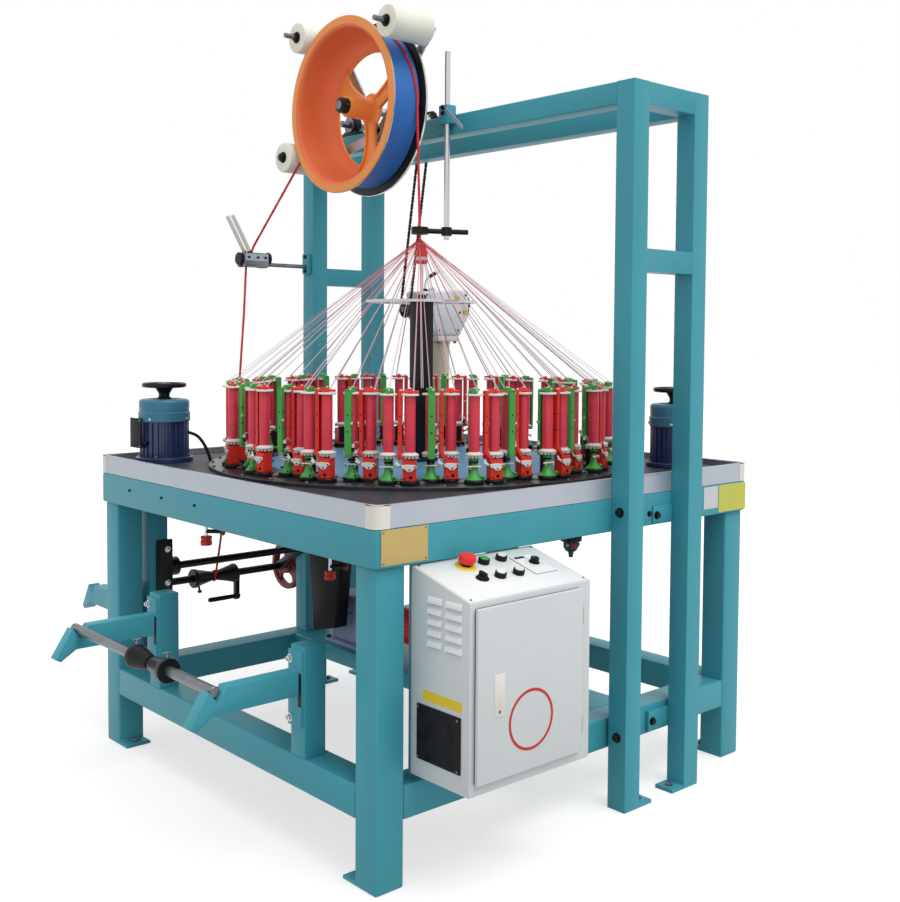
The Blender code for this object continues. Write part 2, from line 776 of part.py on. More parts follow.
def make_portal(name, y0, look):
    """Two posts with shoes, tied at the top and in the middle."""
    y1 = y0 + TUBE
    left = block((POST_LEFT, y0, SHOE_THICK / 2), (POST_LEFT + TUBE, y1, GANTRY_TOP))
    joins = [block((POST_RIGHT, y0, SHOE_THICK / 2), (POST_RIGHT + TUBE, y1, GANTRY_TOP))]
    for low, top in ((GANTRY_TOP - TUBE, GANTRY_TOP - TIE_SET), (TIE_LOW, TIE_LOW + TUBE)):
        joins.append(block(
            (POST_LEFT + TUBE - SINK, y0 + TIE_SET, low),
            (POST_RIGHT + SINK, y1 - TIE_SET, top),
        ))
    for x0, x1 in ((POST_LEFT, POST_LEFT + TUBE + SHOE_REACH), (POST_RIGHT - SHOE_REACH, POST_RIGHT + TUBE)):
        joins.append(block((x0, y0, 0), (x1, y1, SHOE_THICK)))
    node(name, left, look, joins=joins)


def make_beams(look):
    """The gantry's two long beams, from the front portal to the rear one."""
    y0 = POST_FRONT + TUBE + GAP
    y1 = POST_REAR - GAP
    for name, x in (("beam_left", POST_LEFT), ("beam_right", POST_RIGHT)):
        node(name, block((x, y0, GANTRY_TOP - TUBE), (x + TUBE, y1, GANTRY_TOP)), look)


def carrier_body():
    """One carrier's turned parts about its own axis: cone foot, spindle, ratchet, yarn package and cap."""
    outline = [
        (0.0, -SINK),
        (CARRIER_FOOT, -SINK),
        (SPINDLE, CONE_TALL),
        (SPINDLE, RATCHET_LOW),
        (FLANGE, RATCHET_TOP),
        (PACKAGE, PACKAGE_LOW),
        (PACKAGE, PACKAGE_TOP),
        (FLANGE, CAP_TOP),
        (0.0, KNOB_TOP),
    ]
    return turned(outline, (0, 0, TRACK_TOP), (0, 0, 1), CARRIER_SIDES)


def carrier_frame():
    """One carrier's upright frame: a sloping lower bracket, a post beside the package and a top arm."""
    low = TRACK_TOP + BRACKET_LOW
    inside = FRAME_OUT - FRAME_POST
    under_arm = CARRIER_TOP - FRAME_ARM
    outline = [
        (0.0, low),
        (FRAME_OUT, low + BRACKET_RISE),
        (FRAME_OUT, CARRIER_TOP),
        (-FRAME_ARM, CARRIER_TOP),
        (-FRAME_ARM, under_arm),
        (inside, under_arm),
        (inside, low + 2 * BRACKET_TALL),
        (0.0, low + BRACKET_TALL),
    ]
    return sheet(outline, FRAME_WIDE, along_y(FRAME_WIDE / 2))


def carrier_spot(index):
    """Where one carrier stands: its turn round the ring, and its distance out on the wavy path."""
    turn = math.pi + math.tau * (index + 0.5) / CARRIERS
    return turn, RING + SWAY * math.cos(CARRIERS * turn / 4)


def make_carriers(look):
    """The ring of carriers, each half standing on its half of the track plate."""
    body = carrier_body()
    frame = carrier_frame()
    per = CARRIERS // 2
    for half, name in enumerate(("front", "rear")):
        bodies, frames = [], []
        for index in range(half * per, (half + 1) * per):
            turn, radius = carrier_spot(index)
            spot = Matrix.Rotation(turn, 4, "Z") @ Matrix.Translation((radius, 0, 0))
            face = spot @ Matrix.Rotation(math.pi / 2, 4, "Z")
            for mesh, group, place in ((body, bodies, spot), (frame, frames, face)):
                copy = mesh.copy()
                copy.transform(place)
                group.append(copy)
        track = track_half(math.pi * (half + 1))
        node(f"carriers_{name}", track, look, joins=[together(bodies), together(frames)])


def track_half(start):
    """Half of the flat ring that the carriers run on."""
    steps = 24
    room = GAP / TRACK_IN
    turns = [start + room + (math.pi - 2 * room) * i / steps for i in range(steps + 1)]
    outline = [(TRACK_OUT * math.cos(t), TRACK_OUT * math.sin(t)) for t in turns]
    outline += [(TRACK_IN * math.cos(t), TRACK_IN * math.sin(t)) for t in reversed(turns)]
    return sheet(outline, TRACK_THICK - GAP, Matrix.Translation((0, 0, BED_TOP + GAP)))


def braid_axis():
    """The upright line on which the yarns meet: it touches the haul-off drum."""
    return Vector((BRAID_X, WHEEL_Y - braid_reach(DRUM_R), 0))


def make_yarns(look):
    """The taut yarns, one straight strand from each carrier's top arm to the bead where all meet."""
    centre = braid_axis()
    top = BRAID_Z - GAP
    low = top - BEAD_TALL
    bead = [(0, low), (BEAD_R, low), (BEAD_R, top - BEAD_SLOPE), (BRAID_R, top), (0, top)]
    strands = []
    for index in range(CARRIERS):
        turn, radius = carrier_spot(index)
        along = Vector((-math.sin(turn), math.cos(turn), 0))
        start = Vector((radius * math.cos(turn), radius * math.sin(turn), 0)) - along * YARN_BACK
        out = (start - centre).normalized()
        end = centre + out * (BEAD_R - 4 * YARN_R) + Vector((0, 0, top - BEAD_ENTRY))
        strands.append(rod(start + Vector((0, 0, CARRIER_TOP + GAP + YARN_R)), end, YARN_R, 3))
    node("yarns", turned(bead, centre, (0, 0, 1), 16), look, joins=[together(strands)])


def make_centre(black, blue):
    """The plate inside the ring, and the black column with its cap, core rod, die and yarn hoop."""
    plate_low = (0, 0, BED_TOP + GAP)
    node("inner_plate", rod(plate_low, (0, 0, TRACK_TOP), TRACK_IN - INNER_ROOM, 32), blue)
    top = COLUMN_TOP
    column = block((-COLUMN_HALF, -COLUMN_HALF, TRACK_TOP + GAP), (COLUMN_HALF, COLUMN_HALF, top))
    cap = block((-CAP_HALF, -CAP_HALF, top - SINK), (CAP_HALF, CAP_HALF, top + CAP_THICK - SINK))
    level = top + SINK
    turns = [math.tau * i / HOOP_SIDES for i in range(HOOP_SIDES)]
    points = [(HOOP_R * math.cos(a), HOOP_R * math.sin(a), level) for a in turns]
    hoop = wire(points, HOOP_WIRE, 6, closed=True)
    reach = HOOP_R - HOOP_SPOKE
    spokes = rod((-reach, 0, level), (reach, 0, level), HOOP_SPOKE, 8)
    low = DIE_LOW
    top = low + DIE_TALL
    core = rod((0, 0, level + SINK), (0, 0, low + DIE_BAND), CORE_R, 8)
    die = [(0, low), (DIE_R - SINK, low), (DIE_R, low + DIE_BAND), (DIE_NECK, top), (0, top)]
    die = turned(die, (0, 0, 0), (0, 0, 1), 12)
    node("centre_column", column, black, joins=[cap, spokes, hoop, core, die])


def sprocket(radius, x):
    """The profile steps of a sprocket on a shaft of a radius, centred at x."""
    half = SPROCKET_WIDE / 2
    return [(radius, x - half), (SPROCKET_R, x - half), (SPROCKET_R, x + half), (radius, x + half)]


def make_take_up_gearbox(look):
    """The take-up gearbox on its round column in the far corner."""
    x, y = GEARBOX_X, GEARBOX_Y
    half = GEARBOX_DEEP / 2
    foot = block(
        (x - STEM_FOOT_X, y - STEM_FOOT_Y, BED_TOP + GAP),
        (x + STEM_FOOT_X, y + STEM_FOOT_Y, BED_TOP + STEM_FOOT_THICK),
    )
    stem = rod((x, y, BED_TOP + STEM_FOOT_THICK / 2), (x, y, GEARBOX_LOW - SINK), STEM_R, 16)
    flange = block(
        (x - STEM_HEAD_X, y - STEM_HEAD_Y, GEARBOX_LOW - STEM_FOOT_THICK),
        (x + STEM_HEAD_X, y + STEM_HEAD_Y, GEARBOX_LOW + SINK),
    )
    knee = GEARBOX_LOW + GEARBOX_KNEE
    top = GEARBOX_LOW + GEARBOX_TALL
    side = [
        (x - GEARBOX_BELLY, GEARBOX_LOW), (x + GEARBOX_BELLY, GEARBOX_LOW), (x + GEARBOX_FAR, knee),
        (x + GEARBOX_FAR, top), (x - GEARBOX_NEAR, top - GEARBOX_FALL), (x - GEARBOX_NEAR, knee),
    ]
    body = sheet(side, GEARBOX_DEEP, along_y(y + half))
    bore = rod(
        (x - 2 * GEARBOX_NEAR, TAKE_UP_Y, TAKE_UP_Z), (x + 2 * GEARBOX_FAR, TAKE_UP_Y, TAKE_UP_Z),
        TAKE_UP_R + FIT, BORE_SIDES,
    )
    node("take_up_gearbox", stem, look, joins=[foot, flange, body], cuts=[bore])


def make_shafts(black):
    """The take-up gearbox's shaft, the cross shaft over the beams, and the two chains."""
    disc = GEARBOX_X + GEARBOX_FAR + TAKE_UP_DISC_OUT
    profile = [(0, TAKE_UP_CHAIN_X - SHAFT_PAST), (TAKE_UP_R, TAKE_UP_CHAIN_X - SHAFT_PAST)]
    profile += sprocket(TAKE_UP_R, TAKE_UP_CHAIN_X)
    profile += [
        (TAKE_UP_R, disc), (TAKE_UP_DISC, disc), (TAKE_UP_DISC, disc + TAKE_UP_DISC_THICK),
        (0, disc + TAKE_UP_DISC_THICK),
    ]
    low = (TAKE_UP_Y, TAKE_UP_Z)
    high = (CROSS_Y, WHEEL_Z)
    node("take_up_shaft", turned(profile, (0, *low), (1, 0, 0), 12), black, origin=(0, *low))
    start, end = POST_LEFT + TUBE / 2 - CROSS_PAST, TAKE_UP_CHAIN_X + SHAFT_PAST
    cross = [(0, start), (CROSS_R, start)] + sprocket(CROSS_R, WHEEL_CHAIN_X)
    cross += sprocket(CROSS_R, TAKE_UP_CHAIN_X) + [(CROSS_R, end), (0, end)]
    node("cross_shaft", turned(cross, (0, *high), (1, 0, 0), 12), black, origin=(0, *high))
    chain_loop("take_up_chain", TAKE_UP_CHAIN_X, (low, high), black)
    chain_loop("wheel_chain", WHEEL_CHAIN_X, ((WHEEL_Y, WHEEL_Z), high), black)


def wheel_spoke(centre):
    """One cast spoke of the haul-off wheel, pointing down: it flares where it runs into the web."""
    inner, outer = HUB_R - 4 * SINK, WEB_R + 4 * SINK
    right = [
        (SPOKE_ROOT, inner),
        (SPOKE_ROOT, (inner + outer) / 2),
        (SPOKE_WAIST, outer - SPOKE_WAIST),
        (SPOKE_FLARE, outer),
    ]
    outline = [(centre[1] - y, centre[2] - z) for y, z in right]
    outline += [(centre[1] + y, centre[2] - z) for y, z in reversed(right)]
    return sheet(outline, SPOKE_THICK, along_x(WHEEL_FAR - SINK - SPOKE_THICK))


def make_wheel(look):
    """The haul-off wheel: a flanged bowl of a rim on three spokes, its hub, and the axle with a sprocket."""
    near, far = WHEEL_NEAR, WHEEL_FAR
    inner = DRUM_R - RIM_WALL
    profile = [
        (WHEEL_R, near), (WHEEL_R, near + FLANGE_THICK), (DRUM_R, near + FLANGE_THICK + FLANGE_SLOPE),
        (DRUM_R, far - FLANGE_THICK - FLANGE_SLOPE), (WHEEL_R, far - FLANGE_THICK), (WHEEL_R, far),
        (WEB_R, far), (WEB_R, far - WEB_THICK), (inner, far - BOWL_TURN), (inner, near + FLANGE_SLOPE),
        (WHEEL_R - RIM_FACE, near),
    ]
    centre = (0, WHEEL_Y, WHEEL_Z)
    rim = turned(profile + profile[:1], centre, (1, 0, 0), 32)
    spokes = round_copies(wheel_spoke(centre), centre, (1, 0, 0), SPOKES)
    hub = far + 2 * SINK - HUB_LONG
    end = POST_RIGHT + TUBE + AXLE_PAST
    axle = [
        (0, near - AXLE_OUT), (AXLE_R, near - AXLE_OUT), (AXLE_R, near), (COLLAR_R, near), (COLLAR_R, hub),
        (HUB_R, hub + SINK / 2), (HUB_R, far + 2 * SINK), (AXLE_R, far + 2 * SINK),
    ] + sprocket(AXLE_R, WHEEL_CHAIN_X) + [(AXLE_R, end), (0, end)]
    node("haul_off_wheel", rim, look, joins=[turned(axle, centre, (1, 0, 0), 16), spokes], origin=centre)


def make_bearings(look):
    """The four bearing blocks on the beams: two carry the haul-off axle and two the cross shaft."""
    half = BEARING_WIDE / 2
    for side, post in (("left", POST_LEFT), ("right", POST_RIGHT)):
        x = post + TUBE / 2
        for name, y, radius in (("axle_bearing", WHEEL_Y, AXLE_R), ("cross_bearing", CROSS_Y, CROSS_R)):
            base = block(
                (x - half, y - BEARING_REACH, GANTRY_TOP + GAP),
                (x + half, y + BEARING_REACH, GANTRY_TOP + BEARING_BASE),
            )
            face = half - BEARING_SET
            housing = rod((x - face, y, WHEEL_Z), (x + face, y, WHEEL_Z), BEARING_R, 16)
            bore = rod((x - TUBE, y, WHEEL_Z), (x + TUBE, y, WHEEL_Z), radius + FIT, BORE_SIDES)
            node(f"{name}_{side}", base, look, joins=[housing], cuts=[bore])


def roller_axis(angle):
    """Where a roller's axis lies, as (y, z), from its angle round the wheel."""
    turn = math.radians(angle)
    return WHEEL_Y + ROLLER_ORBIT * math.cos(turn), WHEEL_Z + ROLLER_ORBIT * math.sin(turn)


def make_rollers(ivory, steel):
    """Three ivory rollers round the wheel, each on its own shaft, and the arms that carry the shafts."""
    near = ROLLER_ARM_AT
    far = near + ROLLER_ARM_THICK
    half = ROLLER_ARM_WIDE / 2
    hub_y, hub_z = WHEEL_Y, GANTRY_TOP - TUBE / 2
    bars, shafts = [], []
    for name, angle in ROLLERS.items():
        y, z = roller_axis(angle)
        bore = rod((ROLLER_NEAR - TUBE, y, z), (ROLLER_FAR + TUBE, y, z), ROLLER_SHAFT_R + FIT, BORE_SIDES)
        roller = rod((ROLLER_NEAR, y, z), (ROLLER_FAR, y, z), ROLLER_R, 20)
        node(name, roller, ivory, cuts=[bore], origin=(0, y, z))
        run = Vector((0, y - hub_y, z - hub_z))
        bar = block((near, -half, 0.0), (far, half, run.length + ROLLER_ARM_PAST))
        lean = math.atan2(run.y, run.z)
        bar.transform(Matrix.Translation((0, hub_y, hub_z)) @ Matrix.Rotation(-lean, 4, "X"))
        bars.append(bar)
        start = ROLLER_NEAR - ROLLER_SHAFT_OUT
        shafts.append(rod((start, y, z), (near + 2 * SINK, y, z), ROLLER_SHAFT_R, 12))
    low = hub_z - ROLLER_PLATE_DOWN
    plate = block(
        (near + SINK / 4, hub_y - ROLLER_PLATE_WIDE / 2, low),
        (POST_LEFT - GAP, hub_y + ROLLER_PLATE_WIDE / 2, low + ROLLER_PLATE_TALL),
    )
    node("roller_frame", plate, steel, joins=bars + [together(shafts)])


def make_guide_rod(steel):
    """The upright rod on the left beam, its clamp, and the arm with the ring over the braiding point."""
    x, y = ROD_X, ROD_Y
    middle = Vector((0, 0, (RING_LOW + RING_HIGH) / 2))
    clamp = block(
        (x - CLAMP_HALF + SINK, y - CLAMP_HALF, GANTRY_TOP - CLAMP_DOWN),
        (POST_LEFT - GAP, y + CLAMP_HALF, GANTRY_TOP + CLAMP_UP),
    )
    upright = rod((x, y, RING_LOW - ROD_DOWN), (x, y, GANTRY_TOP + ROD_UP), ROD_R, 12)
    centre = braid_axis()
    eye = ring(RING_BORE, RING_R, RING_LOW, RING_HIGH, centre, (0, 0, 1), 16)
    away = (Vector((x, y, 0)) - centre).normalized()
    bar = rod(centre + away * (RING_R - 3 * SINK) + middle, centre + away * RING_ARM + middle, RING_ARM_R, 8)
    boss = rod((x, y, RING_LOW - SINK), (x, y, RING_HIGH + SINK), ROD_BOSS, 12)
    node("guide_rod", clamp, steel, joins=[upright, boss, bar, eye])


def make_rope_guide(look):
    """The small forked guide on the rear left post that leads the finished braid down."""
    y = GUIDE_Y
    low = GUIDE_LOW
    left, right = GUIDE_HEAD_LEFT, GUIDE_HEAD_LEFT + GUIDE_HEAD_WIDE
    half = GUIDE_PLATE_WIDE / 2
    plate = block(
        (POST_LEFT - GUIDE_PLATE_THICK, y - half, low - RING_CLEAR),
        (POST_LEFT - GAP, y + half, low - RING_CLEAR + GUIDE_PLATE_TALL),
    )
    level = low + GUIDE_BAR_UP
    bar = rod((right - RING_CLEAR, y, level), (POST_LEFT - GUIDE_PLATE_THICK / 2, y, level), GUIDE_BAR_R, 12)
    tall = GUIDE_HEAD_TALL
    head = block((left, y - GUIDE_HEAD_DEEP / 2, low), (right, y + GUIDE_HEAD_DEEP / 2, low + tall))
    mouth = left + GUIDE_SLOT_LEFT
    slot = block(
        (mouth, y - GUIDE_SLOT_DEEP / 2, low - tall),
        (mouth + GUIDE_SLOT_WIDE, y + GUIDE_SLOT_DEEP / 2, low + 2 * tall),
    )
    root = Vector((left + FINGER_SET, y, low + tall - FINGER_R))
    fingers = []
    for side in (-1, 1):
        start = root + Vector((0, side * FINGER_APART / 2, 0))
        fingers.append(rod(start, start + Vector((-FINGER_LEAN, 0, FINGER_TALL)), FINGER_R, 8))
    node("rope_guide", head, look, joins=[bar, plate, together(fingers)], cuts=[slot])


def braid_reach(radius, step=BRAID_STEP):
    """How far from a round piece's axis the braid's centre line keeps when it bends in steps."""
    return (radius + BRAID_R + GAP) / math.cos(math.radians(step) / 2)


def bend(centre, radius, start, end, x_start, x_end, step=BRAID_STEP):
    """Points of the braid as it bends about an axis along X, from one angle to another in degrees."""
    count = max(2, math.ceil(abs(end - start) / step))
    points = []
    for i in range(count + 1):
        share = i / count
        turn = math.radians(start + (end - start) * share)
        y = centre[0] + radius * math.cos(turn)
        z = centre[1] + radius * math.sin(turn)
        points.append((x_start + (x_end - x_start) * share, y, z))
    return points


def make_braid(look):
    """The finished braid: up to the wheel, round it, over the low roller, through the guide to the winder."""
    wheel = Vector((WHEEL_Y, WHEEL_Z))
    roller = Vector(roller_axis(ROLLERS["roller_low"]))
    on_wheel = braid_reach(DRUM_R)
    on_roller = braid_reach(ROLLER_R)
    between = roller - wheel
    across = math.degrees(math.atan2(between.y, between.x))
    leave = across + math.degrees(math.acos((on_wheel + on_roller) / between.length))
    guide = Vector((GUIDE_Y, GUIDE_LOW + GUIDE_LEAD))
    onward = guide - roller
    drop = math.degrees(math.atan2(onward.y, onward.x)) + math.degrees(math.asin(on_roller / onward.length))
    on_winder = braid_reach(WIND_R, 2 * BRAID_STEP)
    start = BRAID_X - BRAID_LEAD
    end = start - BRAID_SPREAD
    mouth = GUIDE_HEAD_LEFT + GUIDE_SLOT_LEFT
    enters, leaves = (mouth + GUIDE_SLOT_WIDE * share for share in (SLOT_ENTRY, SLOT_EXIT))
    points = [(BRAID_X, WHEEL_Y - on_wheel, BRAID_Z)]
    points += bend(wheel, on_wheel, 180.0, leave - 360.0, start, end)
    points += bend(roller, on_roller, leave + 180.0, drop + 270.0, end - 2 * BRAID_R, end - 5 * BRAID_R)
    points.append((enters, *guide))
    points.append((leaves, GUIDE_Y, GUIDE_LOW))
    points.append((FALL_X, FALL_Y, FALL_Z))
    wound = (WIND_MID - BRAID_R, WIND_MID + BRAID_R)
    points += bend((WIND_Y, WIND_Z), on_winder, 180.0, 450.0, *wound, 2 * BRAID_STEP)
    node("finished_braid", wire(points, BRAID_R, 6), look)


def make_cabinet(look):
    """The sheet-metal control cabinet with a sloping console and a hinged door."""
    wall = CAB_WALL
    side = [(CAB_BACK, CAB_LOW), (CAB_FRONT, CAB_LOW), (CAB_FRONT, CAB_BROW), (CAB_BACK, CAB_TOP)]
    inside = [
        (CAB_BACK - wall, CAB_LOW + wall), (CAB_FRONT + wall, CAB_LOW + wall),
        (CAB_FRONT + wall, CAB_BROW - wall), (CAB_BACK - wall, CAB_TOP - wall),
    ]
    shell = sheet(side, CAB_WIDE, along_x(CAB_LEFT))
    hollow = sheet(inside, CAB_WIDE - 2 * wall, along_x(CAB_LEFT + wall))
    mouth = block(
        (DOOR_LEFT + DOOR_LAP, CAB_FRONT - DOOR_THICK, DOOR_LOW + DOOR_LAP),
        (DOOR_RIGHT - DOOR_LAP, CAB_FRONT + DOOR_THICK, DOOR_TOP - DOOR_LAP),
    )
    button_hole = rod((0, 0, -BUTTON_R), (0, 0, BUTTON_R), BUTTON_STEM + BUTTON_ROOM, BORE_SIDES)
    button_hole.transform(on_console(CAB_LEFT + BUTTON_IN, BUTTON_UP))
    node("cabinet_body", shell, look, cuts=[hollow, mouth, button_hole])
    y1 = CAB_FRONT - GAP
    door = block((DOOR_LEFT, y1 - DOOR_THICK, DOOR_LOW), (DOOR_RIGHT, y1, DOOR_TOP))
    node("cabinet_door", door, look, origin=(DOOR_RIGHT, y1 - DOOR_THICK / 2, (DOOR_LOW + DOOR_TOP) / 2))


def on_console(x, up):
    """The frame of a control at x along the console and a distance up its slope, Z standing off it."""
    turn = Matrix.Rotation(CONSOLE_SLOPE, 4, "X")
    return Matrix.Translation((x, CAB_FRONT, CAB_BROW)) @ turn @ Matrix.Translation((0, up, 0))


def make_controls(red, black):
    """The mushroom stop button, the selector and the speed knob on the console."""
    cap = (BUTTON_NECK + BUTTON_TALL) / 2
    button = [
        (0, -BUTTON_DOWN), (BUTTON_STEM, -BUTTON_DOWN), (BUTTON_STEM, BUTTON_NECK),
        (BUTTON_R, BUTTON_NECK + SINK), (BUTTON_R, cap + SINK), (BUTTON_R * 2 / 3, BUTTON_TALL),
        (0, BUTTON_TALL),
    ]
    selector = [
        (0, GAP), (SELECTOR_R, GAP), (SELECTOR_R, SELECTOR_TALL / 2), (SELECTOR_R * 2 / 3, SELECTOR_TALL),
        (0, SELECTOR_TALL),
    ]
    speed = [(0, GAP), (SPEED_R, GAP), (SPEED_R - SINK / 2, SPEED_TALL), (0, SPEED_TALL)]
    for name, x, up, profile, look in (
        ("stop_button", CAB_LEFT + BUTTON_IN, BUTTON_UP, button, red),
        ("selector_knob", CAB_LEFT + SELECTOR_IN, SELECTOR_UP, selector, black),
        ("speed_knob", CAB_RIGHT - SPEED_IN, SPEED_UP, speed, black),
    ):
        place = on_console(x, up)
        mesh = turned(profile, (0, 0, 0), (0, 0, 1), 16)
        mesh.transform(place)
        node(name, mesh, look, origin=place.translation)


def ribbed_body(x, y, low, tall):
    """A motor's upright body with cooling ribs down its side."""
    pitch = math.tau / MOTOR_RIBS
    root = MOTOR_R - MOTOR_RIB
    corners = ((MOTOR_R, -RIB_FACE), (MOTOR_R, RIB_FACE), (root, RIB_ROOT), (root, 1 - RIB_ROOT))
    outline = []
    for index in range(MOTOR_RIBS):
        for radius, share in corners:
            angle = (index + share) * pitch
            outline.append((x + radius * math.cos(angle), y + radius * math.sin(angle)))
    return sheet(outline, tall, Matrix.Translation((0, 0, low)))


def make_motor(side, x, y, out, box_y, navy, black):
    """An upright motor on the bed with its terminal box, and the handwheel on its shaft."""
    base = BED_TOP + GAP
    over_foot = BED_TOP + MOTOR_FOOT_THICK
    cap_low = BED_TOP + MOTOR_BODY
    lip = MOTOR_R + MOTOR_CAP_OUT
    foot = rod((x, y, base), (x, y, over_foot), MOTOR_FOOT, 20)
    cap = [
        (0, cap_low), (lip, cap_low), (lip, MOTOR_TOP - MOTOR_CAP_ROUND),
        (lip - MOTOR_CAP_ROUND, MOTOR_TOP), (0, MOTOR_TOP),
    ]
    cap = turned(cap, (x, y, 0), (0, 0, 1), 20)
    body = ribbed_body(x, y, over_foot - SINK, cap_low - over_foot + 2 * SINK)
    b0, b1 = sorted((x + out * (MOTOR_R - MOTOR_CAP_ROUND), x + out * (MOTOR_R + MOTOR_BOX_OUT)))
    low = BED_TOP + MOTOR_BOX_LOW
    box = block((b0, box_y - MOTOR_BOX_HALF, low), (b1, box_y + MOTOR_BOX_HALF, low + MOTOR_BOX_TALL))
    stub = rod((x, y, MOTOR_TOP - 4 * SINK), (x, y, HANDWHEEL_LOW - GAP), MOTOR_STUB, 12)
    node(f"motor_{side}", foot, navy, joins=[body, cap, box, stub])
    low = HANDWHEEL_LOW
    rim = ring(
        HANDWHEEL_R - HANDWHEEL_RIM, HANDWHEEL_R, low + HANDWHEEL_LIFT, low + HANDWHEEL_TALL - SINK / 2,
        (x, y, 0), (0, 0, 1), 16,
    )
    hub = rod((x, y, low), (x, y, low + HANDWHEEL_TALL), HANDWHEEL_HUB, 12)
    reach = HANDWHEEL_R - HANDWHEEL_RIM / 2
    half = HANDWHEEL_SPOKE / 2
    level = low + HANDWHEEL_LIFT + SINK
    top = level + HANDWHEEL_SPOKE_THICK
    spokes = [
        block((x - reach, y - half, level), (x + reach, y + half, top)),
        block((x - half, y - reach, level + SINK / 2), (x + half, y + reach, top + SINK / 2)),
    ]
    node(f"handwheel_{side}", rim, black, joins=[hub] + spokes, origin=(x, y, low))


def make_motors(navy, black):
    """The two upright motors: near the rear left corner and near the front right one."""
    x, y = (BED_HALF - inset for inset in MOTOR_LEFT_IN)
    make_motor("left", -x, y, -1.0, y + MOTOR_BOX_OFF, navy, black)
    x, y = (BED_HALF - inset for inset in MOTOR_RIGHT_IN)
    make_motor("right", x, -y, 1.0, -y, navy, black)


def arm_outline(root, tip, top):
    """The side view of a notched arm: a flat arm, a V notch for the bar and a lip that slopes down."""
    sign = 1 if tip > root else -1
    notch = tip - sign * NOTCH_BACK
    return [
        (root, top),
        (notch - sign * NOTCH_RUN, top),
        (notch, top - NOTCH_DEEP),
        (notch + sign * (NOTCH_RUN - SINK), top - 2 * SINK),
        (tip, top - LIP_FALL),
        (tip - sign * LIP_THICK, top - LIP_FALL - LIP_DROP),
        (notch + sign * NOTCH_RUN / 2, top - ARM_DEEP),
        (root, top - ARM_DEEP),
    ]


def make_let_off(teal, black):
    """Two uprights with notched arms on the left side, and the bar with its two cones."""
    for name, y in (("near", STAND_NEAR_Y), ("far", STAND_FAR_Y)):
        half = TUBE / 2
        upright = block((-LEG_OUT, y - half, RAIL_TOP + GAP), (-LEG_OUT + TUBE, y + half, STAND_TOP))
        plate = block(
            (-LEG_OUT - ARM_PLATE_THICK, y - ARM_PLATE / 2, STAND_PLATE_LOW),
            (-LEG_OUT + 2 * SINK, y + ARM_PLATE / 2, STAND_PLATE_TOP),
        )
        outline = arm_outline(-LEG_OUT - ARM_PLATE_THICK / 2, ARM_TIP, ARM_TOP)
        arm = sheet(outline, ARM_WIDE, along_y(y + ARM_WIDE / 2))
        node(f"let_off_arm_{name}", upright, teal, joins=[plate, arm])
    axis = (ARM_TIP + NOTCH_BACK, 0, ARM_TOP - NOTCH_DEEP + BAR_R / math.sin(NOTCH_LEAN) + GAP)
    reach = ARM_WIDE / 2 + BAR_PAST
    first, second = CONE_START, CONE_START + CONE_APART
    profile = [(0, STAND_NEAR_Y - reach), (BAR_R, STAND_NEAR_Y - reach)]
    profile += [
        (BAR_R, first), (CONE_WIDE, first), (CONE_WIDE, first + CONE_LAND), (CONE_NARROW, first + CONE_LONG),
        (BAR_R, first + CONE_LONG),
    ]
    profile += [
        (BAR_R, second), (CONE_NARROW, second), (CONE_WIDE, second + CONE_LONG - CONE_LAND),
        (CONE_WIDE, second + CONE_LONG), (BAR_R, second + CONE_LONG),
    ]
    profile += [(BAR_R, STAND_FAR_Y + reach), (0, STAND_FAR_Y + reach)]
    node("let_off_bar", turned(profile, axis, (0, 1, 0), 16), black, origin=axis)


def make_winder_brackets(black):
    """The two plates that hang the winder's shafts on the rear uprights."""
    edge = BRACKET_EDGE
    side = [
        (WIND_Y - edge, WIND_Z - edge), (WIND_Y + edge, WIND_Z - edge), (WIND_Y + edge, WIND_Z + edge),
        (JACK_Y + 1.5 * edge, JACK_Z + 3 * edge), (JACK_Y - edge, JACK_Z + 3 * edge),
        (JACK_Y - edge, JACK_Z - 1.5 * edge),
    ]
    for name, x, thick in (
        ("left", WINDER_LEFT + TUBE / 2 + GAP, BRACKET_LEFT_THICK),
        ("right", WINDER_RIGHT - TUBE / 2 - GAP - BRACKET_RIGHT_THICK, BRACKET_RIGHT_THICK),
    ):
        bores = [
            rod((x - TUBE, y, z), (x + TUBE, y, z), radius + FIT, BORE_SIDES)
            for y, z, radius in ((WIND_Y, WIND_Z, WIND_R), (JACK_Y, JACK_Z, JACK_R))
        ]
        bosses = []
        if name == "left":
            for y, z, radius, long in (
                (JACK_Y, JACK_Z, BOSS_JACK, BOSS_JACK_LONG), (WIND_Y, WIND_Z, BOSS_WIND, BOSS_WIND_LONG),
            ):
                bosses.append(rod((x + SINK, y, z), (x + long, y, z), radius, 16))
        node(f"winder_bracket_{name}", sheet(side, thick, along_x(x)), black, joins=bosses, cuts=bores)


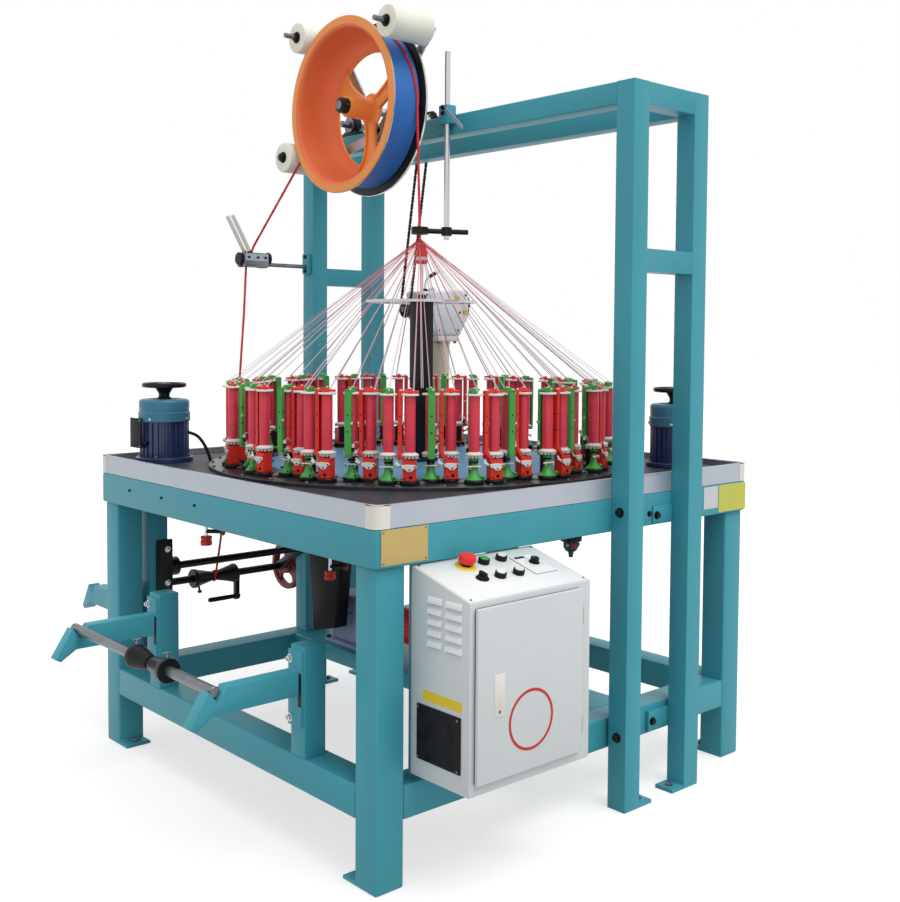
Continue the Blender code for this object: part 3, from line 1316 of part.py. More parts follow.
def make_winder(black):
    """The winder's cone shaft with crank and spoked wheel, its jack shaft, and the chain between them."""
    start = WINDER_LEFT + TUBE / 2 + GAP
    end = WIND_CHAIN_X + WIND_END
    wide, narrow, mid, half = WIND_CONE, WIND_NECK, WIND_MID, WIND_CONE_HALF
    hub_left, hub_right = SPOKED_LEFT - SINK, SPOKED_LEFT + SPOKED_WIDE + SINK
    profile = [
        (0, start), (WIND_R, start), (WIND_R, mid - half), (wide, mid - half), (wide, mid - half + WIND_LAND),
        (narrow, mid - WIND_GROOVE), (WIND_R, mid - WIND_GROOVE), (WIND_R, mid + WIND_GROOVE),
        (narrow, mid + WIND_GROOVE), (wide, mid + half - WIND_LAND), (wide, mid + half), (WIND_R, mid + half),
        (WIND_R, hub_left), (SPOKED_HUB, hub_left), (SPOKED_HUB, hub_right), (WIND_R, hub_right),
    ] + sprocket(WIND_R, WIND_CHAIN_X) + [(WIND_R, end), (0, end)]
    axis = (0, WIND_Y, WIND_Z)
    crank_x = mid + half - CRANK_IN
    grip_z = WIND_Z - CRANK_LONG + CRANK_HALF
    crank = block(
        (crank_x, WIND_Y - CRANK_HALF, WIND_Z - CRANK_LONG),
        (crank_x + CRANK_THICK, WIND_Y + CRANK_HALF, WIND_Z + SINK),
    )
    grip = rod((crank_x + SINK - GRIP_LONG, WIND_Y, grip_z), (crank_x + SINK, WIND_Y, grip_z), GRIP_R, 12)
    rim = ring(SPOKED_R - SPOKED_RIM, SPOKED_R, SPOKED_LEFT, SPOKED_LEFT + SPOKED_WIDE, axis, (1, 0, 0), 24)
    spoke = block(
        (SPOKED_LEFT + SPOKED_SPOKE / 2, WIND_Y - SPOKED_SPOKE, WIND_Z + WIND_R),
        (SPOKED_LEFT + SPOKED_SPOKE * 1.5, WIND_Y + SPOKED_SPOKE, WIND_Z + SPOKED_R - SPOKED_RIM / 2),
    )
    spokes = round_copies(spoke, axis, (1, 0, 0), SPOKES)
    shaft = turned(profile, axis, (1, 0, 0), 12)
    node("winder_shaft", shaft, black, joins=[crank, grip, rim, spokes], origin=axis)
    jack = [(0, start), (JACK_R, start)] + sprocket(JACK_R, WIND_CHAIN_X) + [(JACK_R, end), (0, end)]
    jack_axis = (0, JACK_Y, JACK_Z)
    node("jack_shaft", turned(jack, jack_axis, (1, 0, 0), 12), black, origin=jack_axis)
    chain_loop("winder_chain", WIND_CHAIN_X, ((JACK_Y, JACK_Z), (WIND_Y, WIND_Z)), black)


def make_drive(grey, black):
    """The worm gearbox and its motor on the shelf under the bed, and the belt guard beside them."""
    x, y, z = DRIVE_X, DRIVE_Y, DRIVE_Z
    base = RAIL_TOP + GAP
    over_foot = base + DRIVE_FOOT_THICK
    left, right, deep = DRIVE_FOOT
    foot = block((x - left, y - deep, base), (x + right, y + deep, over_foot))
    left, right, deep = DRIVE_BODY
    top = z + DRIVE_BODY_OVER
    body = block((x - left, y - deep, over_foot - SINK), (x + right, y + deep, top), DRIVE_ROUND, 3)
    level = z + DRIVE_HUB_UP
    hub = rod((x - DRIVE_HUB_OUT, y, level), (x + right - 4 * SINK, y, level), DRIVE_HUB, 16)
    body_r, flange_r, long = DRIVE_MOTOR, DRIVE_MOTOR_FLANGE, DRIVE_MOTOR_LONG
    cap_at = long - DRIVE_MOTOR_CAP
    cap_r = body_r + SINK
    motor = [
        (0, 0), (flange_r, 0), (flange_r, MOTOR_CAP_ROUND), (body_r, MOTOR_CAP_ROUND + SINK),
        (body_r, cap_at), (cap_r, cap_at + SINK), (cap_r, long - MOTOR_CAP_ROUND),
        (cap_r - MOTOR_CAP_ROUND, long), (0, long),
    ]
    motor = turned(motor, (x, y - deep + 2 * SINK, z), (0, -1, 0), 16)
    node("drive_gearbox", body, grey, joins=[foot, hub, motor])
    back = GUARD_NEAR + GUARD_WIDE
    low = APRON_TOP - GUARD_TALL
    waist = APRON_TOP - GUARD_WAIST
    outline = [
        (GUARD_NEAR, APRON_TOP), (back, APRON_TOP), (back - GUARD_LEAN, waist), (back - GUARD_FOOT_IN, low),
        (GUARD_NEAR + GUARD_FOOT_IN, low + GUARD_RAKE), (GUARD_NEAR + GUARD_LEAN, waist - GUARD_RAKE),
    ]
    place = along_x(x - DRIVE_HUB_OUT - GAP - GUARD_THICK)
    node("belt_guard", sheet(outline, GUARD_THICK, place), black)


def main():
    teal = material("teal paint", TEAL, 0.45, 0.0)
    aluminium = material("aluminium", ALUMINIUM, 0.35, 0.9)
    black = material("black iron", BLACK, 0.45, 0.3)
    steel = material("bright steel", STEEL, 0.3, 1.0)
    red = material("red plastic", RED, 0.4, 0.0)
    orange = material("orange paint", ORANGE, 0.4, 0.0)
    ivory = material("ivory plastic", IVORY, 0.5, 0.0)
    navy = material("navy paint", NAVY, 0.4, 0.0)
    cabinet_grey = material("cabinet paint", CABINET_GREY, 0.45, 0.0)
    slate = material("dark bed", SLATE, 0.6, 0.0)
    blue = material("blue plate", BLUE, 0.45, 0.0)
    grey = material("grey casting", GEAR_GREY, 0.45, 0.2)
    yarn = material("red yarn", YARN, 0.8, 0.0)
    make_legs(teal)
    make_bed(teal, aluminium, slate)
    make_rails(teal)
    make_portal("portal_front", POST_FRONT, teal)
    make_portal("portal_rear", POST_REAR, teal)
    make_beams(teal)
    make_carriers(red)
    make_yarns(yarn)
    make_centre(black, blue)
    make_take_up_gearbox(grey)
    make_shafts(black)
    make_wheel(orange)
    make_bearings(black)
    make_rollers(ivory, steel)
    make_guide_rod(steel)
    make_rope_guide(steel)
    make_braid(yarn)
    make_cabinet(cabinet_grey)
    make_controls(red, black)
    make_motors(navy, black)
    make_let_off(teal, black)
    make_winder_brackets(black)
    make_winder(black)
    make_drive(grey, black)
    for obj in bpy.data.objects:
        obj.location += Vector((BED_X, BED_Y, 0.0))


main()
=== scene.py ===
"""Looks for the braiding machine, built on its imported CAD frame. Metres, Z up.

Shapes are drawn about the middle of the bed, as in the part's source, and are moved at the end.
"""

import random
from math import acos, asin, atan2, cos, degrees, pi, radians, sin, tau

import bmesh
import bpy
from mathutils import Matrix, Vector


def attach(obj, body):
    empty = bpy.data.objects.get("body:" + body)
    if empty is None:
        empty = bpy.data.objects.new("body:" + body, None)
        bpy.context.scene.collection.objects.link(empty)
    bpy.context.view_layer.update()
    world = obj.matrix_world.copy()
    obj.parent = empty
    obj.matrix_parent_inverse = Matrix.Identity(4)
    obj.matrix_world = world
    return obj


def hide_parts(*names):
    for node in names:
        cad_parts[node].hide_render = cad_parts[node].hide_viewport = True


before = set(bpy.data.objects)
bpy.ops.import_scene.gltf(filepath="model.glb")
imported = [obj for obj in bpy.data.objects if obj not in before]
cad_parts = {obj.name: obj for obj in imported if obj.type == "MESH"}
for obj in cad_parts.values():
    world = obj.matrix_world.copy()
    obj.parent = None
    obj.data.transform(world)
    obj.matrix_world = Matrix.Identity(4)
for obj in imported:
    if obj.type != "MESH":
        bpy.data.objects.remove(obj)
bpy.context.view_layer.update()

SHIFT = Vector((0.1425, -0.03985, 0.0))
BRAID = Vector((-0.013, -0.00537, 1.556))
# The tops of the bed plate and the track, the gantry's left face and the line of the portals in y.
DECK, TRACK_TOP, POST_FACE, PORTAL_Y = 0.8723, 0.882, 0.0797, 0.7303
random.seed(7)
bpy.context.scene.view_settings.view_transform = "Standard"

# ---------------------------------------------------------------- materials


def add_node(nodes, kind, **values):
    """A new shader node with the values of its inputs."""
    made = nodes.new("ShaderNode" + kind)
    for name, value in values.items():
        made.inputs[name.replace("_", " ")].default_value = value
    return made


def finish(name, colour, rough=0.4, metal=0.0, vary=0.06, patch=7.0, grain=350.0, bump=0.03, shine=0.4):
    """A procedural finish: soft patches of colour, uneven sheen and a fine grain."""
    look = bpy.data.materials.new(name)
    look.use_nodes = True
    nodes, link = look.node_tree.nodes, look.node_tree.links.new
    shader = nodes["Principled BSDF"]
    place = add_node(nodes, "TexCoord").outputs["Object"]
    patches = add_node(nodes, "TexNoise", Scale=patch, Detail=4.0)
    link(place, patches.inputs["Vector"])
    ramp = add_node(nodes, "ValToRGB")
    for element, position, share in zip(ramp.color_ramp.elements, (0.3, 0.7), (1 - vary, 1 + vary)):
        element.position = position
        element.color = (*[min(1, c * share) for c in colour], 1)
    link(patches.outputs["Fac"], ramp.inputs["Fac"])
    link(ramp.outputs["Color"], shader.inputs["Base Color"])
    sheen = add_node(nodes, "MapRange", To_Min=rough * 0.85, To_Max=min(1.0, rough * 1.2))
    link(patches.outputs["Fac"], sheen.inputs["Value"])
    link(sheen.outputs["Result"], shader.inputs["Roughness"])
    fine = add_node(nodes, "TexNoise", Scale=grain)
    link(place, fine.inputs["Vector"])
    dent = add_node(nodes, "Bump", Strength=bump, Distance=0.002)
    link(fine.outputs["Fac"], dent.inputs["Height"])
    link(dent.outputs["Normal"], shader.inputs["Normal"])
    shader.inputs["Metallic"].default_value = metal
    shader.inputs["Specular IOR Level"].default_value = shine
    return look


def wound(name, colour, pitch, rough=0.7, depth=0.5):
    """Yarn wound round an upright package: fine turns with a slight change of shade."""
    look = finish(name, colour, rough, vary=0.1, patch=40.0, grain=900.0, bump=0.1)
    nodes, link = look.node_tree.nodes, look.node_tree.links.new
    turns = add_node(nodes, "TexWave", Scale=pitch, Distortion=1.5)
    turns.bands_direction = "Z"
    link(nodes["Texture Coordinate"].outputs["Object"], turns.inputs["Vector"])
    dent = add_node(nodes, "Bump", Strength=depth, Distance=0.001)
    link(turns.outputs["Fac"], dent.inputs["Height"])
    link(nodes["Bump"].outputs["Normal"], dent.inputs["Normal"])
    link(dent.outputs["Normal"], nodes["Principled BSDF"].inputs["Normal"])
    return look


TEAL = finish("teal enamel", (0.055, 0.335, 0.415), 0.4, vary=0.05, patch=3.0, grain=220.0,
              bump=0.05, shine=0.28)
RIM = finish("rim aluminium", (0.46, 0.5, 0.555), 0.4, metal=0.55, vary=0.04, patch=9.0)
CREAM = finish("corner plastic", (0.8, 0.78, 0.72), 0.45, vary=0.03)
MAT = finish("bed mat", (0.03, 0.036, 0.048), 0.5, vary=0.25, patch=12.0, bump=0.08, shine=0.3)
BED_BLUE = finish("blue plate", (0.075, 0.26, 0.44), 0.42, vary=0.08)
BLACK = finish("black enamel", (0.008, 0.008, 0.01), 0.34, vary=0.2, bump=0.06, shine=0.22)
RUBBER = finish("black rubber", (0.007, 0.007, 0.009), 0.55, vary=0.15, shine=0.18)
STEEL = finish("bright steel", (0.6, 0.62, 0.65), 0.26, metal=1.0, vary=0.05)
GREY_STEEL = finish("dull steel", (0.2, 0.21, 0.23), 0.36, metal=0.9, vary=0.15, patch=25.0)
DARK_STEEL = finish("dark steel", (0.055, 0.058, 0.065), 0.33, metal=0.8, vary=0.3, patch=30.0)
CAST_RED = finish("dark red casting", (0.22, 0.018, 0.02), 0.5, vary=0.15, patch=30.0, bump=0.15)
RED = finish("red plastic", (0.78, 0.03, 0.018), 0.34, vary=0.06, shine=0.35)
GREEN = finish("green plastic", (0.06, 0.36, 0.065), 0.36, vary=0.1, shine=0.35)
WHITE = finish("white plastic", (0.78, 0.77, 0.72), 0.4, vary=0.04)
PACKAGE = wound("red package", (0.72, 0.04, 0.075), 600.0, 0.3, 0.12)
ORANGE = finish("orange enamel", (0.96, 0.335, 0.078), 0.38, vary=0.05, patch=5.0, bump=0.05, shine=0.3)
# Painted shade: the dish inside the wheel is a darker, redder copy of the orange enamel, standing in for the
# shade and orange bounce light within it.
SHADED_BOWL = finish("orange bowl with painted shade", (0.9, 0.215, 0.08), 0.4, vary=0.06, patch=4.0, bump=0.05, shine=0.3)
DRUM = finish("blue drum", (0.03, 0.165, 0.54), 0.5, vary=0.1, patch=10.0)
IVORY = finish("ivory plastic", (0.91, 0.89, 0.77), 0.5, vary=0.05, patch=12.0)
CABINET = finish("cabinet enamel", (0.66, 0.7, 0.71), 0.42, vary=0.02, grain=500.0, bump=0.04)
CONSOLE = finish("console enamel", (0.86, 0.87, 0.87), 0.4, vary=0.02, grain=500.0, bump=0.04)
NAVY = finish("navy enamel", (0.014, 0.03, 0.11), 0.28, vary=0.1, shine=0.6)
CAP_BLUE = finish("cap enamel", (0.038, 0.175, 0.28), 0.35, vary=0.08, shine=0.4)
SANDY = finish("sand casting", (0.6, 0.57, 0.45), 0.45, vary=0.05)
GREY = finish("grey casting", (0.7, 0.73, 0.78), 0.42, vary=0.07, bump=0.12)
SLATE_BLUE = finish("slate casting", (0.3, 0.37, 0.56), 0.42, vary=0.12, bump=0.15)
GOLD = finish("gold plate", (0.54, 0.4, 0.15), 0.38, metal=0.5, vary=0.06)
YELLOW = finish("yellow plastic", (0.8, 0.6, 0.03), 0.42, vary=0.04)
LABEL = finish("plain label", (0.62, 0.61, 0.1), 0.5, vary=0.03)
PALE_LABEL = finish("pale label", (0.66, 0.68, 0.69), 0.5, vary=0.03)
SOCKET = finish("black socket", (0.007, 0.007, 0.008), 0.5, vary=0.1, shine=0.2)
ROPE = wound("red braid", (0.86, 0.055, 0.045), 250.0)
LINK = finish("chain steel", (0.02, 0.019, 0.019), 0.34, metal=0.6, vary=0.3, patch=60.0)
BRASS = finish("brass", (0.62, 0.42, 0.12), 0.32, metal=1.0, vary=0.08)
RED_INK = finish("red ink", (0.55, 0.03, 0.03), 0.5, vary=0.03)

# ---------------------------------------------------------------- shapes


SHARP = radians(30)
X, Y, Z = Vector((1, 0, 0)), Vector((0, 1, 0)), Vector((0, 0, 1))
move = Matrix.Translation


def mm(*pairs):
    """Pairs in millimetres as pairs in metres."""
    return [(x / 1000, y / 1000) for x, y in pairs]


def turned(angle, axis="Z"):
    return Matrix.Rotation(angle, 4, axis)


def part_turn(i, count, axis="Z"):
    """One of a number of equal turns about an axis."""
    return turned(tau * i / count, axis)


def on_circle(radius, turn, *rest):
    """A point on a circle, with its height if one is given."""
    return (radius * cos(turn), radius * sin(turn), *rest)


def joined(shape, other):
    """Adds one shape to another and frees it."""
    mesh = bpy.data.meshes.new("part")
    other.to_mesh(mesh)
    other.free()
    shape.from_mesh(mesh)
    bpy.data.meshes.remove(mesh)
    return shape


def turn_to(axis):
    return Z.rotation_difference(Vector(axis)).to_matrix().to_4x4()


def soften(bm, edge, steps):
    """Rounds every corner sharper than 30 degrees."""
    edges = [e for e in bm.edges if len(e.link_faces) == 2 and e.calc_face_angle(0) > SHARP]
    bmesh.ops.bevel(bm, geom=edges, offset=edge, segments=steps, profile=0.5, affect="EDGES",
            clamp_overlap=True)


def box(low, high, edge=0.0, steps=2):
    bm = bmesh.new()
    bmesh.ops.create_cube(bm, size=1.0)
    low, high = Vector(low), Vector(high)
    place = move((low + high) / 2) @ Matrix.Diagonal((*(high - low), 1.0))
    bmesh.ops.transform(bm, matrix=place, verts=bm.verts)
    if edge:
        soften(bm, edge, steps)
    return bm


def lathe(profile, centre=(0, 0, 0), axis=Z, sides=32):
    """A profile of (radius, height) pairs turned about an axis. A closed one ends with its first pair."""
    bm = bmesh.new()
    closed = profile[0] == profile[-1]
    pairs = profile[:-1] if closed else profile
    rings = []
    for radius, height in pairs:
        if radius < 1e-6:
            rings.append([bm.verts.new((0, 0, height))])
        else:
            rings.append([
                bm.verts.new((radius * cos(tau * i / sides), radius * sin(tau * i / sides), height))
                for i in range(sides)
            ])
    runs = list(zip(rings, rings[1:])) + ([(rings[-1], rings[0])] if closed else [])
    for first, second in runs:
        for i in range(sides):
            j = (i + 1) % sides
            corners = [ring[k % len(ring)] for ring,
                    k in ((first, i), (first, j), (second, j), (second, i))]
            corners = [v for k, v in enumerate(corners) if v not in corners[:k]]
            if len(corners) > 2:
                bm.faces.new(corners)
    bmesh.ops.recalc_face_normals(bm, faces=bm.faces)
    bmesh.ops.transform(bm, matrix=move(centre) @ turn_to(axis), verts=bm.verts)
    return bm


def hoop(profile, *rest, **more):
    """A closed profile turned about an axis."""
    return lathe(profile + profile[:1], *rest, **more)


def disc(radius, high, *rest, **more):
    return lathe([(0, 0), (radius, 0), (radius, high), (0, high)], *rest, **more)


def bar(start, end, radius, sides=20, edge=0.0):
    """A round bar, with a chamfer at each end if an edge is given."""
    start, end = Vector(start), Vector(end)
    length = (end - start).length
    if not edge:
        return disc(radius, length, start, end - start, sides)
    profile = [(0, 0), (radius - edge, 0), (radius, edge), (radius, length - edge),
            (radius - edge, length), (0, length)]
    return lathe(profile, start, end - start, sides)


def prism(outline, thick, place=None, edge=0.0, steps=2):
    """A flat outline of 2D points thickened along +Z."""
    bm = bmesh.new()
    face = bm.faces.new([bm.verts.new((x, y, 0)) for x, y in outline])
    made = bmesh.ops.extrude_face_region(bm, geom=[face])
    moved = [v for v in made["geom"] if isinstance(v, bmesh.types.BMVert)]
    bmesh.ops.translate(bm, vec=(0, 0, thick), verts=moved)
    bmesh.ops.recalc_face_normals(bm, faces=bm.faces)
    if edge:
        soften(bm, edge, steps)
    if place is not None:
        bmesh.ops.transform(bm, matrix=place, verts=bm.verts)
    return bm


def along_x(x):
    return Matrix(((0, 0, 1, x), (1, 0, 0, 0), (0, 1, 0, 0), (0, 0, 0, 1)))


def along_y(y):
    return Matrix(((1, 0, 0, 0), (0, 0, -1, y), (0, 1, 0, 0), (0, 0, 0, 1)))


def sweep(points, radius, sides=8, closed=False):
    """A round bar along a run of points."""
    points = [Vector(p) for p in points]
    count = len(points)
    bm = bmesh.new()
    rings, normal = [], None
    for i, point in enumerate(points):
        before = points[i - 1] if i or closed else point
        after = points[(i + 1) % count] if i < count - 1 or closed else point
        way = (after - before).normalized()
        if normal is None:
            normal = way.orthogonal().normalized()
        normal = (normal - way * normal.dot(way)).normalized()
        other = way.cross(normal)
        rings.append([
            bm.verts.new(point + (normal * cos(tau * k / sides) + other * sin(tau * k / sides)) * radius)
            for k in range(sides)
        ])
    runs = list(zip(rings, rings[1:])) + ([(rings[-1], rings[0])] if closed else [])
    for first, second in runs:
        for k in range(sides):
            bm.faces.new((first[k], first[(k + 1) % sides], second[(k + 1) % sides], second[k]))
    if not closed:
        bm.faces.new(rings[0])
        bm.faces.new(rings[-1])
    bmesh.ops.recalc_face_normals(bm, faces=bm.faces)
    return bm


def curve_points(corners, steps=8):
    """A smooth run of points through some corners."""
    corners = [Vector(c) for c in corners]
    padded = [2 * corners[0] - corners[1]] + corners + [2 * corners[-1] - corners[-2]]
    out = []
    for a, b, c, d in zip(padded, padded[1:], padded[2:], padded[3:]):
        for i in range(steps):
            t = i / steps
            cubic = (3 * b - a - 3 * c + d) * t ** 3
            out.append(0.5 * ((2 * b) + (c - a) * t + (2 * a - 5 * b + 4 * c - d) * t * t + cubic))
    return out + [corners[-1]]


class Piece:
    """One shown piece, gathered from shapes in one or more finishes."""

    def __init__(self, name):
        self.name = name
        self.bm = bmesh.new()
        self.looks = []

    def add(self, look, *shapes, place=None):
        """Adds shapes in one finish and frees them."""
        if look not in self.looks:
            self.looks.append(look)
        index = self.looks.index(look)
        for shape in shapes:
            for face in shape.faces:
                face.material_index = index
            mesh = bpy.data.meshes.new("shape")
            shape.to_mesh(mesh)
            shape.free()
            self.stamp(mesh, place)
            bpy.data.meshes.remove(mesh)
        return self

    def stamp(self, mesh, place=None):
        """Adds a mesh whose faces already carry their finish."""
        if place is not None:
            mesh = mesh.copy()
            mesh.transform(place)
        self.bm.from_mesh(mesh)

    def mesh(self):
        made = bpy.data.meshes.new(self.name)
        self.bm.to_mesh(made)
        self.bm.free()
        for look in self.looks:
            made.materials.append(look)
        return made

    def done(self, body, *nodes, slot=None):
        """Makes the object, in place on its CAD body, in place of some CAD nodes."""
        made = self.mesh()
        made.polygons.foreach_set("use_smooth", [True] * len(made.polygons))
        made.set_sharp_from_angle(angle=radians(32))
        made.transform(move(SHIFT))
        obj = bpy.data.objects.new(self.name, made)
        bpy.context.scene.collection.objects.link(obj)
        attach(obj, body)
        if nodes:
            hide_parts(*nodes)
        return obj


def cad(node, edge=0.0, steps=2):
    """A CAD node's own shape, tidied and with its corners rounded."""
    bm = bmesh.new()
    bm.from_mesh(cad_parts[node].data)
    bmesh.ops.remove_doubles(bm, verts=bm.verts, dist=0.00002)
    bmesh.ops.dissolve_limit(bm, angle_limit=radians(0.5), verts=bm.verts, edges=bm.edges)
    bmesh.ops.translate(bm, vec=-SHIFT, verts=bm.verts)
    if edge:
        soften(bm, edge, steps)
    return bm


WASHER = 0.0015


def bolt(centre, axis, radius=0.008, washer=True):
    """A hexagon bolt head standing on a face."""
    centre, axis = Vector(centre), Vector(axis).normalized()
    high = radius * 0.95
    profile = [(0, 0), (radius, 0), (radius, radius * 0.75), (radius * 0.85, high), (0, high)]
    head = lathe(profile, centre + axis * WASHER, axis, 6)
    if not washer:
        return head
    return joined(head, disc(radius * 1.35, WASHER, centre, axis, 20))


def cap_screw(centre, axis, radius=0.005):
    """A socket cap screw with its recess."""
    r = radius
    profile = [(0, r * 0.35), (r * 0.5, r * 0.35), (r * 0.55, r), (r * 0.9, r),
            (r, r * 0.85), (r, 0), (0, 0)]
    return lathe(profile, Vector(centre), Vector(axis).normalized(), 12)


def row(start, end, count):
    """Evenly spaced points from one to another."""
    start, end = Vector(start), Vector(end)
    return [start.lerp(end, i / (count - 1)) for i in range(count)]


def arc(centre, radius, first, last, steps):
    """Points (y, z) along an arc, from one angle to another in degrees."""
    turns = [radians(first + (last - first) * i / steps) for i in range(steps + 1)]
    return [(centre[0] + radius * cos(t), centre[1] + radius * sin(t)) for t in turns]


def gear(radius, count, thick):
    """A sprocket: rounded teeth round a disc, about Z from 0."""
    outline = []
    for i in range(count):
        for share, r in ((-0.32, radius - 0.0035), (-0.14, radius), (0.14, radius),
                (0.32, radius - 0.0035)):
            turn = tau * (i + share) / count
            outline.append(on_circle(r, turn))
    return prism(outline, thick, edge=0.0006, steps=1)


def sprocket(piece, spot):
    """The small black sprocket that every chain here runs on."""
    piece.add(BLACK, gear(0.024, 12, 0.005), place=place_at(spot, X))


def torus(centre, axis, radius, wire, sides=40, rounds=10):
    """A round ring of round wire."""
    profile = [
        (radius + wire * cos(tau * i / rounds), wire * sin(tau * i / rounds)) for i in range(rounds)
    ]
    return hoop(profile, centre, axis, sides)


def place_at(centre, axis):
    return move(centre) @ turn_to(axis)


# ---------------------------------------------------------------- frame

FRAME_NODES = (
    "leg_front_left", "leg_front_right", "leg_rear_left", "leg_rear_right", "bed_frame", "rail_front",
    "rail_rear", "rail_left", "rail_right", "drive_shelf", "portal_front", "portal_rear", "beam_left",
    "beam_right",
)


def make_frame():
    """The welded teal frame: its own shapes with rounded tube corners, and the bolts on it."""
    for node in FRAME_NODES:
        Piece(f"{node}_look").add(TEAL, cad(node, 0.007 if "leg" in node else 0.004, 3)).done("frame", node,
                slot="teal_paint")
    bolts = Piece("frame_bolts")
    for z in (0.8, 0.197):
        for y in (-PORTAL_Y, PORTAL_Y):
            for x, way in ((0.394, 1), (0.08, -1)):
                bolts.add(BLACK, bolt((x, y, z), X * way, 0.01))
    for x in (-0.648, 0.648):
        for sy in (-1, 1):
            bolts.add(GREY_STEEL, bolt((x, sy * 0.583, 0.01), Z))
    for y in (-PORTAL_Y, PORTAL_Y):
        for x in (0.17, 0.304):
            bolts.add(GREY_STEEL, bolt((x, y, 0.01), Z))
    for y in (0.5, 0.3, 0.11):
        bolts.add(BLACK, cap_screw((-0.7, y, 0.797), -X, 0.004))
    bolts.done("frame")


def corner_cover(low, top):
    """A pale corner cover: a thin rounded angle round the strip's corner, with a small lip over it."""
    reach, radius, thick, face = 0.04, 0.022, 0.003, -0.7
    turns = [radians(180 + 90 * i / 8) for i in range(9)]
    outer, inner = (
        [(face + radius + r * cos(t), face + radius + r * sin(t)) for t in turns]
        for r in (radius, radius - thick)
    )
    run = [(face, face + reach)] + outer + [(face + reach, face)]
    back = [(face + reach, face + thick)] + inner[::-1] + [(face + thick, face + reach)]
    cover = prism(run + back, top - low, move((0, 0, low)))
    lip = prism(run + [(-0.688, -0.688)], 0.0026, move((0, 0, top - 0.0024)))
    return joined(cover, lip)


def make_bed():
    """The aluminium strip with its pale corner pieces, and the dark bed with its blue middle."""
    rim = Piece("bed_rim_look")
    low, top, half, wall = 0.8335, 0.888, 0.6993, 0.009
    for turn in range(4):
        spin = part_turn(turn, 4)
        side = box((-half + 0.022, -half, low), (half - 0.022, -half + wall, top - 0.001), 0.001, 1)
        rim.add(
            RIM,
            side,
            box((-half + 0.022, -half - 0.0004, top - 0.006), (half - 0.022, -half + wall + 0.001, top),
                    0.0012),
            place=spin,
        )
        rim.add(CREAM, corner_cover(low + 0.0005, top + 0.0003), place=spin)
    rim.done("frame", "bed_rim", slot="rim_aluminium")
    bed = Piece("bed_plate_look").add(MAT, cad("bed_plate", 0.0015, 1))
    bed.done("frame", "bed_plate", slot="dark_bed")
    plate = Piece("inner_plate_look")
    plate.add(BED_BLUE, lathe([(0, DECK), (0.464, DECK), (0.464, 0.8805), (0.4625, TRACK_TOP),
            (0, TRACK_TOP)], sides=96))
    for i in range(16):
        a = tau * (i + 0.5) / 16
        plate.add(BLACK, cap_screw(on_circle(0.446, a, TRACK_TOP), Z))
    plate.done("frame", "inner_plate", slot="blue_plate")


# ---------------------------------------------------------------- carriers


def star(radius, lobes, steps=6, depth=0.16):
    """The outline of a lobed knob."""
    count = lobes * steps
    return [
        on_circle(radius * (1 - depth * (0.5 - 0.5 * cos(tau * i * lobes / count))), tau * i / count)
        for i in range(count)
    ]


def post(look, low, top, holes):
    """A carrier's post: a channel open toward the package, which stands at +X from it."""
    parts = []
    web = mm((20, -9.2), (30.5, -9.2), (30.5, 9.2), (20, 9.2), (20, 6.8), (28, 6.8), (28, -6.8), (20, -6.8))
    parts.append((prism(web, top - low, move((0, 0, low)), 0.0007, 1), look))
    for z in holes:
        parts.append((bar((0.03, 0, z), (0.0307, 0, z), 0.0026, 8), SOCKET))
        parts.append((bar((0.0255, 0.0088, z), (0.0255, 0.0094, z), 0.0022, 8), SOCKET))
    return parts


